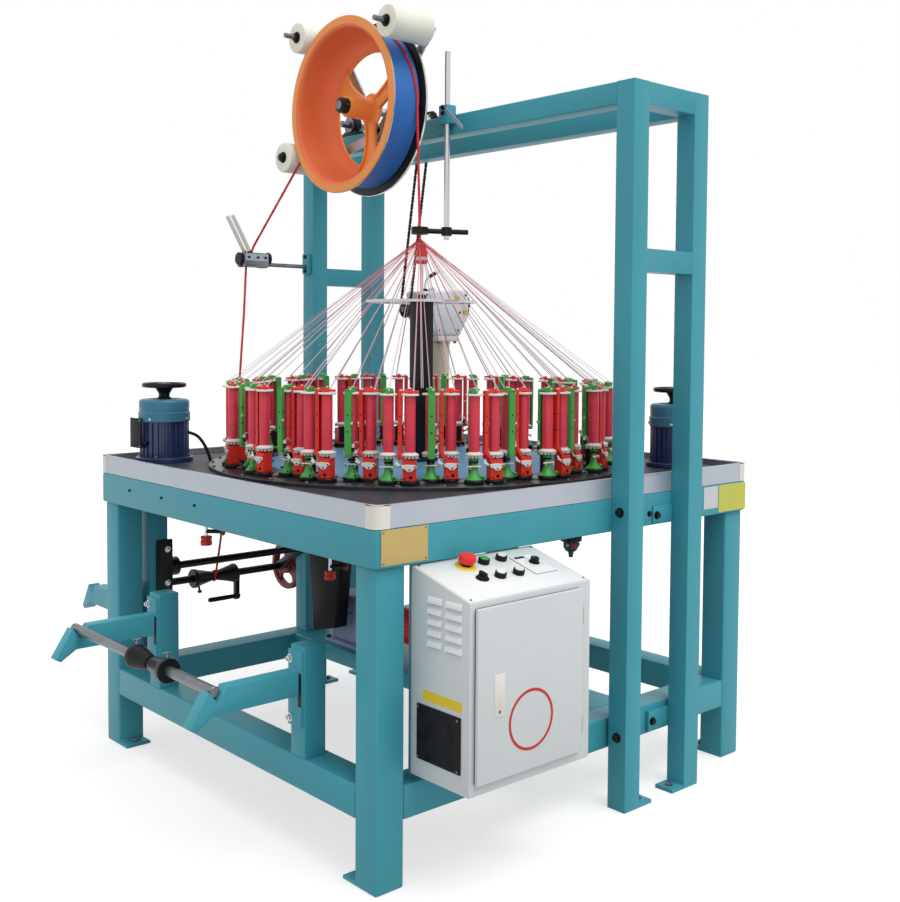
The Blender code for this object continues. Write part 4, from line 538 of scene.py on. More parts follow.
def carrier(colour, turn):
    """One bobbin carrier about its own axis: +Y faces out of the ring, the post is at a turn from +X."""
    one = Piece("carrier")
    low, cap = 0.8825, 1.1085
    spin = turned(radians(turn))
    shoe = mm((0, 0), (24.5, 0), (25.8, 2), (25.8, 7), (24.5, 9), (0, 9))
    one.add(BLACK, lathe(shoe, (0, 0, low), sides=22))
    one.add(DARK_STEEL, bar((0, 0, low + 0.008), (0, 0, low + 0.074), 0.0065, 12))
    crown = low + 0.07
    for i in range(12):
        here = part_turn(i, 12) @ move((0.018, 0, crown - 0.0035))
        one.add(WHITE, prism(mm((0, -3), (4.5, 0), (0, 3)), 0.005, here))
    dish = mm((0, 0), (19, 0), (23.2, 3), (23.8, 5), (23.2, 6.8), (19, 8.5), (14, 11.5), (0, 11.5))
    one.add(WHITE, lathe(dish, (0, 0, crown), sides=24))
    base = crown + 0.0115
    wrap = [(0, base), (0.0132, base), (0.014, base + 0.004), (0.0143, base + 0.05), (0.014, cap - 0.004),
            (0.0132, cap), (0, cap)]
    one.add(PACKAGE, lathe(wrap, sides=28))
    one.add(WHITE, lathe(mm((0, 0), (22.2, 0), (23.6, 1.2), (23.6, 4.2), (22.2, 5.5), (0, 5.5)),
            (0, 0, cap), sides=24))
    if turn:
        one.add(colour, prism(star(0.0135, 5, 6, 0.3), 0.006, move((0, 0, cap + 0.0128)), 0.0008, 1))
        one.add(BLACK, box((-0.01, -0.019, low + 0.01), (0.01, -0.006, low + 0.064), 0.0015, 1))
    else:
        one.add(colour, bar((0, 0, cap + 0.012), (0, 0, cap + 0.018), 0.0068, 16, edge=0.0008))
        one.add(BLACK, box((-0.0135, -0.011, low + 0.013), (0.0135, 0.012, low + 0.058), 0.0015, 1))
    one.add(colour, bar((0, 0, cap + 0.005), (0, 0, cap + 0.015), 0.006, 12))
    one.add(WHITE, lathe(mm((0, 0), (3.2, 0), (3, 2), (0, 2.8)), (0, 0, cap + 0.0187), sides=10))
    for shape, look in post(colour, low + 0.07, cap + 0.012, (1.013, 1.056)):
        one.add(look, shape, place=spin)
    arm = mm((-12, -5), (-6, -8), (30.5, -8), (30.5, 8), (-6, 8), (-12, 5))
    if not turn:
        arm = mm((-23.2, -4.8), (-20.5, -6.8), (30.5, -7.8), (30.5, 7.8), (-20.5, 6.8), (-23.2, 4.8))
    one.add(colour, prism(arm, 0.0058, move((0, 0, cap + 0.0075)), 0.001, 1), place=spin)
    for x, y in ((0.0235, 0.0045), (-0.0085, -0.003)):
        one.add(WHITE, lathe(mm((0, 0), (2.8, 0.4), (3.2, 1.8), (2.2, 3.4), (0, 3.8)), (x, y, cap + 0.013),
                sides=10), place=spin)
    one.add(colour, box((-0.008, -0.0085, low + 0.063), (0.0305, 0.0085, low + 0.07),
            0.0012, 1), place=spin)
    # The tension knob and its bright spring stand on the post's inner side.
    inner = -1 if turn == 0 else 1
    one.add(WHITE, bar((0.0265, inner * 0.009, 1.034), (0.0265, inner * 0.0135, 1.034), 0.0036,
            12), place=spin)
    one.add(SOCKET, bar((0.0265, inner * 0.0135, 1.034), (0.0265, inner * 0.015, 1.034),
            0.002, 8), place=spin)
    one.add(WHITE, lathe(mm((0, 0), (4.2, 0), (5, 4), (4.2, 8), (0, 8)), (0.0225, inner * 0.012, 0.972),
            sides=12), place=spin)
    one.add(BLACK, bar((0.0225, inner * 0.012, 0.96), (0.0225, inner * 0.012, 0.973), 0.0034,
            10), place=spin)
    hook = [(0.0225, inner * 0.012, 0.98), (0.019, inner * 0.018, 0.986), (0.013, inner * 0.0205, 0.984),
            (0.0095, inner * 0.019, 0.977)]
    one.add(WHITE, sweep(curve_points(hook, 3), 0.0009, 5), place=spin)
    if turn == 0:
        red_bracket(one, low, colour)
    else:
        green_foot(one, low, colour, turn)
    return one


def red_bracket(one, low, colour):
    """The wide lower bracket that faces out of the ring, with its winged white pawl lever."""
    side = mm((-17.2, 9.5), (17.2, 9.5), (17.2, 60), (30.5, 74), (30.5, 84), (24, 84),
            (12, 64), (-17.2, 61))
    one.add(colour, prism(side, 0.0036, move((0, 0.0175, low)) @ along_y(0), 0.0009, 1))
    for x in (-0.0172, 0.014):
        one.add(colour, box((x, -0.012, low + 0.0095), (x + 0.0032, 0.016, low + 0.062), 0.0008, 1))
    one.add(colour, box((-0.0172, -0.012, low + 0.0092), (0.0172, 0.016, low + 0.0125), 0.0006, 1))
    one.add(SOCKET, bar((-0.003, 0.017, low + 0.019), (-0.003, 0.0181, low + 0.019), 0.0046, 12))
    one.add(BLACK, cap_screw((0.011, 0.0173, low + 0.016), Y, 0.002))
    lever = mm((39, 53), (35, 55.5), (20, 50), (6, 52), (-14, 51), (-20, 46), (-12, 40), (-6, 33.5),
            (4, 33), (11, 39), (24, 45))
    one.add(WHITE, prism(lever, 0.0032, move((0, 0.0215, low)) @ along_y(0), 0.0007, 1))
    for x, z in ((0.0225, 0.0475), (-0.0005, 0.038), (-0.0145, 0.0462)):
        one.add(SOCKET, bar((x, 0.02, low + z), (x, 0.0224, low + z), 0.0023, 8))
    wing = mm((30, 48), (38, 61), (34.5, 63.5), (25, 52))
    one.add(WHITE, prism(wing, 0.0026, move((0, 0.0182, low)) @ along_y(0), 0.0005, 1))


def green_foot(one, low, colour, turn):
    """The slender waisted foot with a small winged white collar."""
    foot = mm((0, 9), (22.8, 9), (23.2, 11), (20.5, 13.5), (13.5, 21.5), (9.8, 32), (8.5, 43))
    foot += mm((8.5, 50), (10, 56), (12.5, 64), (0, 64)) if turn < 0 else mm((0, 43))
    one.add(
        colour,
        lathe(foot, (0, 0, low), sides=24),
        box((-0.0235, 0.006, low + 0.0095), (-0.013, 0.019, low + 0.021), 0.0015, 1),
    )
    one.add(SOCKET, bar((-0.018, 0.0185, low + 0.0155), (-0.018, 0.0195, low + 0.0155), 0.0028, 8))
    wing = mm((-20, 3), (-15, 8.5), (0, 11), (15, 8.5), (22, 4), (11, -2), (-11, -2))
    one.add(WHITE, prism(wing, 0.0036, move((0, 0.004, low + 0.042)) @ turned(radians(6), "X"), 0.0007, 1))
    for x in (-0.013, 0.013):
        one.add(WHITE, box((x - 0.0022, 0.0085, low + 0.037),
                (x + 0.0022, 0.0125, low + 0.0465), 0.0006, 1))
        one.add(SOCKET, bar((x, 0.012, low + 0.0405), (x, 0.0131, low + 0.0405), 0.0016, 8))
    one.add(BLACK, lathe(mm((6, 0), (11, 0), (11, 6), (6, 6), (6, 0)), (0, 0, low + 0.052), sides=14))


CARRIERS = 64
RING, SWAY = 0.548, 0.026


def carrier_places():
    """Each carrier's matrix and index round the ring, on the CAD ring's wavy path."""
    for index in range(CARRIERS):
        turn = pi + pi * (index + 0.5) / (CARRIERS / 2)
        radius = RING + SWAY * cos(CARRIERS * turn / 4)
        spot = turned(turn) @ move((radius, 0, 0))
        yield index, spot @ turned(-pi / 2)


KINDS = (0, 1, 0, 2)


def make_carriers():
    """The ring of carriers on its track plate, red and green in turn."""
    kinds = [carrier(RED, 0), carrier(GREEN, 90), carrier(GREEN, -90)]
    looks = [kind.looks[:] for kind in kinds]
    meshes = [kind.mesh() for kind in kinds]
    for half, name in enumerate(("front", "rear")):
        for kind, colour in enumerate(("red", "green_in", "green_out")):
            ring = Piece(f"carriers_{name}_{colour}")
            ring.looks = looks[kind][:]
            for index, place in carrier_places():
                if index // (CARRIERS // 2) == half and KINDS[index % 4] == kind:
                    ring.stamp(meshes[kind], place)
            ring.done("frame", *([f"carriers_{name}"] if kind == 0 else []), slot="carrier_plastic")
    track = Piece("track_plate")
    track.add(DARK_STEEL, lathe([(0.468, DECK), (0.628, DECK), (0.628, 0.8805), (0.6265, TRACK_TOP),
            (0.4695, TRACK_TOP), (0.468, 0.8805), (0.468, DECK)], sides=128))
    # Two wavy slots cross each other round the ring; each shows as a dark raised-edge line.
    for phase in (0, 1):
        points = []
        for i in range(512):
            a = tau * i / 512
            r = RING + SWAY * cos(16 * a + pi * phase)
            points.append(on_circle(r, a, 0.8812))
        track.add(SOCKET, sweep(points, 0.0035, 6, closed=True))
    for i in range(32):
        a = tau * i / 32
        for r in (0.478, 0.618):
            track.add(GREY_STEEL, cap_screw(on_circle(r, a, TRACK_TOP), Z, 0.0045))
        track.add(GREY_STEEL, lathe(mm((0, 0), (16, 0), (16, 4), (10, 6), (0, 6)),
                on_circle(RING, a + tau / 64, 0.8822), sides=18))
    track.done("frame", slot="carrier_plastic")


def yarn_look():
    """Yarn that is grey-white by the carriers and pink toward the braid."""
    look = finish("yarn", (0.6, 0.25, 0.28), 0.75, vary=0.1, patch=30.0)
    nodes, link = look.node_tree.nodes, look.node_tree.links.new
    split = add_node(nodes, "SeparateXYZ")
    link(nodes["Texture Coordinate"].outputs["Object"], split.inputs["Vector"])
    height = add_node(nodes, "MapRange", From_Min=1.1, From_Max=1.56)
    link(split.outputs["Z"], height.inputs["Value"])
    ramp = add_node(nodes, "ValToRGB")
    steps = ramp.color_ramp.elements
    steps[0].position, steps[0].color = 0.0, (0.56, 0.5, 0.52, 1)
    steps[1].position, steps[1].color = 1.0, (0.7, 0.06, 0.09, 1)
    steps.new(0.55).color = (0.7, 0.38, 0.42, 1)
    link(height.outputs["Result"], ramp.inputs["Fac"])
    link(ramp.outputs["Color"], nodes["Principled BSDF"].inputs["Base Color"])
    return look


def make_yarns():
    """Taut yarns from the carriers to the braiding point, and one thicker yarn before the column."""
    strands = Piece("yarns_look")
    look = yarn_look()
    strands.add(ROPE, lathe(mm((0, 0), (4.6, 1), (5, 6), (3.5, 12), (0, 14)), BRAID - Z * 0.014, sides=20))
    for index, place in carrier_places():
        red = KINDS[index % 4] == 0
        spin = turned(radians((0, 90, -90)[KINDS[index % 4]]))
        start = place @ spin @ Vector((-0.009, -0.003, 1.1262))
        turn = atan2(start.y - BRAID.y, start.x - BRAID.x)
        end = BRAID + Vector(on_circle(0.0034, turn, random.uniform(-0.012, -0.004)))
        for offset in (-0.0016, 0.0, 0.0016) if red else (-0.001, 0.001):
            aside = place.to_3x3() @ Vector((offset, 0, 0))
            strands.add(look, sweep([start + aside, end], 0.00058, 5))
        strands.add(look, sweep([place @ spin @ Vector((0.0235, 0.0045, 1.125)), start], 0.0006, 4))
    for offset in (-0.0016, 0.0016):
        strands.add(look, sweep([(-0.345 + offset, -0.425 - offset, 1.128), BRAID - Z * 0.01], 0.0011, 6))
    strands.done("frame", "yarns", slot="red_yarn")


# ---------------------------------------------------------------- wheel and rollers

WHEEL = Vector((0, 0.244, 1.97))
CROSS = Vector((0, 0.505, 1.97))
TAKE_UP = Vector((0, 0.61, 1.357))
WINDER = Vector((0, 0.775, 0.44))
JACK = Vector((0, 0.645, 0.522))
ROLLER_OUT = 0.3245


def wheel_bowl():
    """The dished side of the wheel's section, from the web's inner edge round to the near face."""
    curve = mm((179.5, -8.5), (190, -10), (201, -15), (212, -24), (221.5, -37), (228.5, -52), (232.5, -70),
            (233.5, -90), (233.5, -113), (234.5, -121))
    return curve + mm((237.5, -126.5), (241.5, -129.4), (245, -130))


def make_wheel():
    """The haul-off wheel: an orange cast rim on three flared spokes, a blue drum and a black flange."""
    wheel = Piece("wheel_look")
    rim = mm((245, -130), (267, -130), (269, -128.5), (269, -126.8), (248, -118), (242.5, -116),
            (242.5, -14), (240, -1), (180, -0.5), (178, -2), (178, -6.5), (179.5, -8.5))
    wheel.add(ORANGE, lathe(rim, WHEEL, X, 96))
    # The dish takes the darker red copy of the orange enamel: painted shade.
    wheel.add(SHADED_BOWL, lathe(wheel_bowl(), WHEEL, X, 96))
    band = mm((269, -126.2), (269, -124), (248, -116), (244, -115.8), (244, -117.2))
    wheel.add(STEEL, hoop(band, WHEEL, X, 96))
    drum = mm((242.4, -115.5), (245, -115), (243.2, -108), (243, -65), (243.2, -22), (245, -15),
            (242.4, -14.5))
    wheel.add(DRUM, hoop(drum, WHEEL, X, 96))
    back = mm((242, -14.2), (246, -14.2), (266, -6.6), (268, -5.8), (268, 0), (240.5, 0), (240.5, -1))
    wheel.add(BLACK, hoop(back, WHEEL, X, 96))
    edge = mm((267.6, -6.2), (269.1, -5), (269.1, -1), (267.6, 0))
    wheel.add(STEEL, hoop(edge, WHEEL, X, 96))
    for i in range(3):
        turn = move(WHEEL) @ turned(pi + tau * i / 3, "X")
        half = mm((24, 26), (22.5, 60), (24, 100), (30, 135), (41, 160), (62, 184))
        outline = half + [(-y, z) for y, z in reversed(half)]
        plate = prism(outline, 0.007, turn @ along_x(-0.011), 0.0015)
        wheel.add(ORANGE, plate)
        for side in (-1, 1):
            rail = half + [(y - 0.0065, z) for y, z in reversed(half)]
            wheel.add(ORANGE, prism([(side * y, z) for y, z in rail], 0.014, turn @ along_x(-0.018), 0.002))
        for y, z in ((0.046, 0.192), (-0.046, 0.192)):
            spot = turn @ Vector((-0.0098, y, z))
            wheel.add(CAST_RED, lathe(mm((0, 0), (5.5, 0), (5.5, 1.2), (3, 1.2), (3, 3),
                    (0, 3)), spot, -X, 14))
    hub = mm((0, 1.5), (33, 1.5), (34, 0.5), (34, -4), (52, -6), (52, -11), (44, -14), (37, -22), (34, -35),
            (33.5, -102), (31, -106), (24.5, -107), (0, -107))
    wheel.add(ORANGE, lathe(hub, WHEEL, X, 48))
    collar = mm((0, -106.5), (24, -106.5), (24, -128.5), (22.5, -130), (0, -130))
    wheel.add(BLACK, lathe(collar, WHEEL, X))
    wheel.add(
        GREY_STEEL,
        bar(WHEEL - X * 0.1295, WHEEL - X * 0.136, 0.014, 28, edge=0.0015),
        cap_screw(WHEEL + Vector((-0.118, -0.024, 0)), -Y, 0.0035),
    )
    wheel.add(STEEL, bar(WHEEL, WHEEL + X * 0.41, 0.0138, 28, edge=0.0015))
    sprocket(wheel, WHEEL + X * 0.2345)
    wheel.add(BLACK, lathe(mm((13.8, 0), (19, 0), (19, 12), (13.8, 12), (13.8, 0)),
            WHEEL + X * 0.24, X, 24))
    wheel.done("haul_off", "haul_off_wheel", slot="orange_paint")


def roller_axis(angle):
    turn = radians(angle)
    return WHEEL.y + ROLLER_OUT * cos(turn), WHEEL.z + ROLLER_OUT * sin(turn)


ROLLERS = {"roller_top": 140.4, "roller_back": 48.0, "roller_low": -23.8}


def make_rollers():
    """Ivory rollers on steel shafts, each held by a flat bar from the left beam."""
    frame_piece = Piece("roller_frame_look")
    hub = WHEEL - Z * 0.07
    for name, angle in ROLLERS.items():
        y, z = roller_axis(angle)
        axis = (0.0, y, z)
        roller = Piece(f"{name}_look")
        shell = mm((11.5, -144), (43, -145), (46.2, -143.7), (47.7, -140), (48, -135), (48, -5), (47, 1),
                (44, 4.2), (40, 5), (11.5, 4.5))
        roller.add(IVORY, hoop(shell, axis, X, 56))
        for x0, x1 in ((-0.1475, -0.1435), (0.004, 0.007)):
            boss = [(0.0088, x0), (0.0165, x0), (0.018, x0 + 0.001), (0.018, x1), (0.0088, x1)]
            roller.add(RUBBER, hoop(boss, axis, X, 28))
        roller.done(f"{name}_body", name, slot="ivory_plastic")
        long = name != "roller_low"
        start = -0.19 if long else -0.16
        frame_piece.add(GREY_STEEL if long else BLACK,
                bar((start, y, z), (0.03, y, z), 0.008, 24, edge=0.0012))
        frame_piece.add(BLACK, lathe(mm((0, 0), (13, 0), (13, 6), (12, 7.2), (0, 7.2)), (-0.15, y, z), -X,
                6 if long else 24))
        run = Vector((0, y - hub.y, z - hub.z))
        lean = atan2(run.y, run.z)
        turn = move(hub) @ turned(-lean, "X")
        length = run.length
        frame_piece.add(RIM, box((0.018, -0.016, 0.0), (0.024, 0.016, length + 0.017), 0.001), place=turn)
        lug = box((0.024, -0.016, length - 0.04), (0.0262, 0.016, length + 0.018), 0.0008, 1)
        frame_piece.add(TEAL, lug, place=turn)
        for up in (-0.026, 0.0):
            nut = turn @ Vector((0.0262, 0, length + up))
            frame_piece.add(GREY_STEEL, bolt(nut, X, 0.0075))
    frame_piece.add(TEAL, box((0.0185, 0.169, 1.8742), (POST_FACE, 0.319, 1.9218), 0.003))
    for y in (0.19, 0.298):
        frame_piece.add(GREY_STEEL, bolt((0.0183, y, 1.898), -X))
    frame_piece.done("frame", "roller_frame", slot="bright_steel")


def make_bearings():
    """Pillow blocks on the beams, with their bolts and grease nipples."""
    blocks = Piece("bearings_look")
    names = []
    for side, x in (("left", 0.11), ("right", 0.364)):
        for name, y, radius in (("axle_bearing", WHEEL.y, 0.0145), ("cross_bearing", CROSS.y, 0.0115)):
            names.append(f"{name}_{side}")
            outline = [(y - 0.055, 1.9303), (y + 0.055, 1.9303), (y + 0.055, 1.942), (y + 0.04, 1.945)]
            outline += arc((y, WHEEL.z), 0.034, -35, 215, 22) + [(y - 0.04, 1.945), (y - 0.055, 1.942)]
            blocks.add(BLACK, prism(outline, 0.024, along_x(x - 0.012), 0.0015))
            collar = [(radius, -0.017), (0.0235, -0.017), (0.0245, -0.016), (0.0245, 0.016),
                    (0.0235, 0.017), (radius, 0.017)]
            blocks.add(GREY_STEEL, hoop(collar, (x, y, WHEEL.z), X))
            for dy in (-0.046, 0.046):
                blocks.add(GREY_STEEL, bolt((x, y + dy, 1.944), Z, 0.0065))
            nipple = mm((0, 0), (3, 0), (3, 3), (1.5, 4.5), (2, 6), (0, 6.5))
            blocks.add(BRASS, lathe(nipple, (x, y - 0.02, 1.9965), (0, -0.5, 1), 10))
    blocks.done("frame", *names, slot="black_iron")


# ---------------------------------------------------------------- shafts and chains


def chain(name, x, ends):
    """A roller chain of plates and rollers round two sprockets, as (y, z) of each."""
    a, b = (Vector(e) for e in ends)
    radius, length = 0.0266, (b - a).length
    way = (b - a) / length
    side = Vector((way.y, -way.x))
    total = 2 * length + tau * radius
    count = 2 * round(total / 0.0127 / 2)
    spots = []
    for i in range(count):
        s = total * i / count
        if s < length:
            spots.append(a + side * radius + way * s)
        elif s < length + pi * radius:
            turn = (s - length) / radius
            spots.append(b + (side * cos(turn) + way * sin(turn)) * radius)
        elif s < 2 * length + pi * radius:
            spots.append(b - side * radius - way * (s - length - pi * radius))
        else:
            turn = (s - 2 * length - pi * radius) / radius
            spots.append(a - (side * cos(turn) + way * sin(turn)) * radius)
    links = Piece(f"{name}_look")
    for i, spot in enumerate(spots):
        after = spots[(i + 1) % count]
        run = after - spot
        pitch = run.length
        lean = atan2(run.y, run.x)
        waist = pitch / 2
        near, far = ([on_circle(0.0054, radians(t)) for t in range(a, a + 241, 48)] for a in (60, -120))
        outline = near + [(waist, -0.0034)] + [(pitch + y, z) for y, z in far] + [(waist, 0.0034)]
        turn = move((0, spot.x, spot.y)) @ turned(lean, "X")
        off = 0.0026 if i % 2 else 0.0017
        for sx in (-1, 1):
            links.add(LINK, prism(outline, 0.0008, turn @ along_x(x + sx * off - 0.0004)))
        links.add(
            LINK,
            bar((x - 0.0034, spot.x, spot.y), (x + 0.0034, spot.x, spot.y), 0.0016, 6),
            bar((x - 0.0012, spot.x, spot.y), (x + 0.0012, spot.x, spot.y), 0.0036, 8),
        )
    links.done("frame", name, slot="black_iron")


def make_shafts():
    """The cross shaft over the beams, the take-up gearbox's shaft with its disc, and their chains."""
    cross = Piece("cross_shaft_look")
    cross.add(GREY_STEEL, bar(CROSS + X * 0.06, CROSS + X * 0.436, 0.011, 24, edge=0.0012))
    take_up = Piece("take_up_shaft_look")
    take_up.add(GREY_STEEL, bar(TAKE_UP + X * 0.408, TAKE_UP + X * 0.69, 0.01, 24, edge=0.0012))
    plate = mm((0, 684), (42.5, 684), (44, 685.5), (44, 696.5), (42.5, 698), (20, 698),
            (18, 695.5), (0, 695.5))
    take_up.add(BLACK, lathe(plate, TAKE_UP, X, 48))
    for piece, spot, radius, xs in ((cross, CROSS, 0.011, (0.237, 0.422)),
            (take_up, TAKE_UP, 0.01, (0.422,))):
        for x in xs:
            sprocket(piece, spot + X * (x - 0.0025))
            hub = [(radius, 0), (0.0175, 0), (0.0175, 0.01), (0.0165, 0.011), (radius, 0.011)]
            piece.add(BLACK, hoop(hub, spot + X * (x + 0.0025), X, 24))
    cross.done("cross", "cross_shaft", slot="black_iron")
    take_up.done("take_up", "take_up_shaft", slot="black_iron")
    chain("take_up_chain", 0.422, (TAKE_UP.yz, CROSS.yz))
    chain("wheel_chain", 0.237, (WHEEL.yz, CROSS.yz))


def make_take_up_gearbox():
    """The pale gearbox on its sandy column, with its cover screws, end cap, yellow marks and lever."""
    x, y, low = 0.575, 0.59, 1.26
    gearbox = Piece("take_up_gearbox_look")
    foot = box((x - 0.06, y - 0.05, DECK), (x + 0.06, y + 0.05, 0.886), 0.003)
    gearbox.add(SANDY, foot)
    stem = mm((0, 886), (44, 886), (36, 900), (34, 915), (34, 1225), (38, 1240), (0, 1246))
    gearbox.add(
        SANDY,
        lathe(stem, (x, y, 0), Z, 40),
        box((x - 0.052, y - 0.046, 1.24), (x + 0.052, y + 0.046, 1.253), 0.002),
    )
    gearbox.add(GREY, box((x - 0.05, y - 0.044, 1.2535), (x + 0.05, y + 0.044, 1.2605), 0.002))
    for dx in (-0.04, 0.04):
        for dy in (-0.036, 0.036):
            gearbox.add(BLACK, bolt((x + dx, y + dy, 1.24), -Z, 0.0055))
            gearbox.add(GREY_STEEL, bolt((x + dx, y + dy, 0.886), Z, 0.006))
    knee, top = low + 0.075, low + 0.177
    side = [(x - 0.06, low), (x + 0.06, low), (x + 0.102, knee), (x + 0.102, top - 0.002),
            (x - 0.13, top - 0.014), (x - 0.13, knee)]
    gearbox.add(GREY, prism(side, 0.094, along_y(y + 0.047), 0.01, 4))
    inner = [(x - 0.056, low + 0.01), (x + 0.056, low + 0.01), (x + 0.094, knee), (x + 0.094, top - 0.01),
            (x - 0.122, top - 0.021), (x - 0.122, knee)]
    gearbox.add(GREY, prism(inner, 0.003, along_y(y - 0.047), 0.0012))
    for dx, dz in ((-0.108, 0.15), (0.08, 0.154), (0.083, 0.09), (-0.108, 0.092), (-0.045, 0.022),
            (0.045, 0.022)):
        gearbox.add(GREY_STEEL, cap_screw((x + dx, y - 0.05, low + dz), -Y, 0.004))
    boss = mm((0, 0), (30, 0), (30, 6), (28.5, 7.5), (0, 7.5))
    gearbox.add(GREY, lathe(boss, (x - 0.1295, TAKE_UP.y, TAKE_UP.z), -X, 36))
    sight = (x + 0.05, y - 0.0498, low + 0.088)
    gearbox.add(WHITE, disc(0.011, 0.003, sight, -Y, 28))
    gearbox.add(SOCKET, lathe(mm((0, 3), (5, 3), (4.6, 3.6), (0, 3.6)), sight, -Y, 20))
    gearbox.add(
        YELLOW,
        lathe(mm((0, 0), (10, 0), (10.5, 2), (8, 6), (0, 7)), (x + 0.077, y - 0.0498, low + 0.092), -Y, 24),
        box((x + 0.026, y - 0.0515, low + 0.138), (x + 0.052, y - 0.0498, low + 0.15), 0.0006, 1),
    )
    end = mm((0, 0), (40, 0), (42, 2), (42, 10), (38, 14), (0, 14))
    gearbox.add(BLACK, lathe(end, (x + 0.101, y, low + 0.122), X, 40))
    gearbox.add(GREY, lathe(mm((0, 0), (20, 0), (20, 4), (12, 6), (10, 14), (0, 15)),
            (x - 0.048, y - 0.01, top - 0.012), Z, 28))
    lever = [(x - 0.1, y - 0.03, top - 0.016), (x - 0.098, y - 0.032, top + 0.022),
            (x - 0.084, y - 0.036, top + 0.04), (x - 0.058, y - 0.038, top + 0.054),
            (x - 0.036, y - 0.038, top + 0.062)]
    gearbox.add(STEEL, sweep(curve_points(lever, 6), 0.0038, 12))
    gearbox.add(
        BLACK,
        bar(lever[2], lever[3], 0.007, 16, edge=0.001),
        lathe(mm((0, 0), (11, 0), (11, 10), (7, 14), (0, 14)), (x - 0.1, y - 0.03, top - 0.018), Z, 24),
    )
    gearbox.done("frame", "take_up_gearbox", slot="grey_casting")


# ---------------------------------------------------------------- braiding point

ROD = Vector((0.0615, -0.042, 0.0))


def make_centre():
    """The black column with its top plate, bright hoop, core rod and the red guide above it."""
    column = Piece("centre_column_look")
    column.add(
        BLACK,
        box((-0.026, -0.026, 0.8823), (0.026, 0.026, 1.362), 0.003),
        box((-0.04, -0.04, 0.8823), (0.04, 0.04, 0.89), 0.0015, 1),
    )
    for sx in (-1, 1):
        for sy in (-1, 1):
            column.add(GREY_STEEL, cap_screw((sx * 0.034, sy * 0.034, 0.89), Z, 0.0035))
    column.add(
        BLACK,
        box((-0.036, -0.036, 1.3655), (0.036, 0.036, 1.3725), 0.001, 1),
        lathe(mm((0, 0), (14, 0), (14, 10), (10, 14), (0, 14)), (0, 0, 1.372), Z, 24),
    )
    column.add(STEEL, lathe(mm((160.5, 1360), (169, 1360), (169, 1366.5), (167.5, 1368), (160.5, 1368),
            (160.5, 1360)), sides=96))
    for turn in (0, pi / 2):
        way = Vector(on_circle(0.162, turn, 0))
        level = Z * 1.364
        column.add(STEEL, bar(level - way, level + way, 0.0028, 12))
    column.add(STEEL, bar((0, 0, 1.384), (0, 0, 1.49), 0.005, 16))
    column.add(RED, lathe(mm((0, 1478), (15, 1478), (17, 1481), (17, 1489), (0, 1489)), sides=28))
    column.add(WHITE, lathe(mm((0, 1488.5), (17.5, 1488.5), (18, 1490), (18, 1497.5), (17.5, 1499),
            (0, 1499)), sides=28))
    neck = mm((0, 1498.5), (16.8, 1498.5), (16.8, 1512), (15, 1518), (14, 1522), (14, 1536),
            (12.5, 1538), (0, 1538))
    column.add(RED, lathe(neck, sides=28))
    column.done("frame", "centre_column", slot="black_iron")


def make_guide_rod():
    """The steel rod in its clamp on the left beam, with the black arm and ring over the braiding point."""
    rod = Piece("guide_rod_look")
    x, y = ROD.x, ROD.y
    rod.add(STEEL, bar((x, y, 1.553), (x, y, 2.116), 0.0085, 28, edge=0.001))
    rod.add(
        TEAL,
        box((x - 0.018, y - 0.02, 1.9), (POST_FACE, y + 0.02, 1.955), 0.0025),
        box((0.06, y + 0.012, 1.88), (POST_FACE, y + 0.048, 1.928), 0.002),
    )
    rod.add(BLACK, bolt((x - 0.018, y, 1.93), -X, 0.005))
    blade = mm((-5.5, 0), (5.5, 0), (6.5, 90), (5, 112), (-5, 112), (-6.5, 90))
    hang, face = Vector((0, -0.77, -0.638)), X
    across = hang.cross(face).normalized()
    spread = Matrix((across, hang, across.cross(hang))).transposed().to_4x4()
    rod.add(RIM, prism(blade, 0.0025, move((x - 0.0205, y - 0.004, 1.948)) @ spread, 0.0006, 1))
    rod.add(BLACK, disc(0.007, 0.005, (x - 0.022, y - 0.006, 1.946), -X, 20))
    centre = Vector((BRAID.x, BRAID.y, 0))
    eye = mm((12, 1568), (13.5, 1566), (24.5, 1566), (26, 1568), (26, 1586), (24.5, 1588),
            (13.5, 1588), (12, 1586))
    rod.add(BLACK, hoop(eye, centre, Z, 40))
    away = (Vector((x, y, 0)) - centre).normalized()
    mid = Z * 1.577
    rod.add(
        BLACK,
        bar(centre + away * 0.024 + mid, centre + away * 0.15 + mid, 0.0078, 24, edge=0.0012),
        lathe(mm((8.5, 1564), (15, 1564), (16, 1565), (16, 1589), (15, 1590), (8.5, 1590), (8.5, 1564)),
                (x, y, 0)),
    )
    rod.add(GREY_STEEL, cap_screw(Vector((x, y, 1.577)) + away.orthogonal().normalized() * 0.0155,
            away.orthogonal(), 0.0035))
    rod.done("frame", "guide_rod", slot="bright_steel")


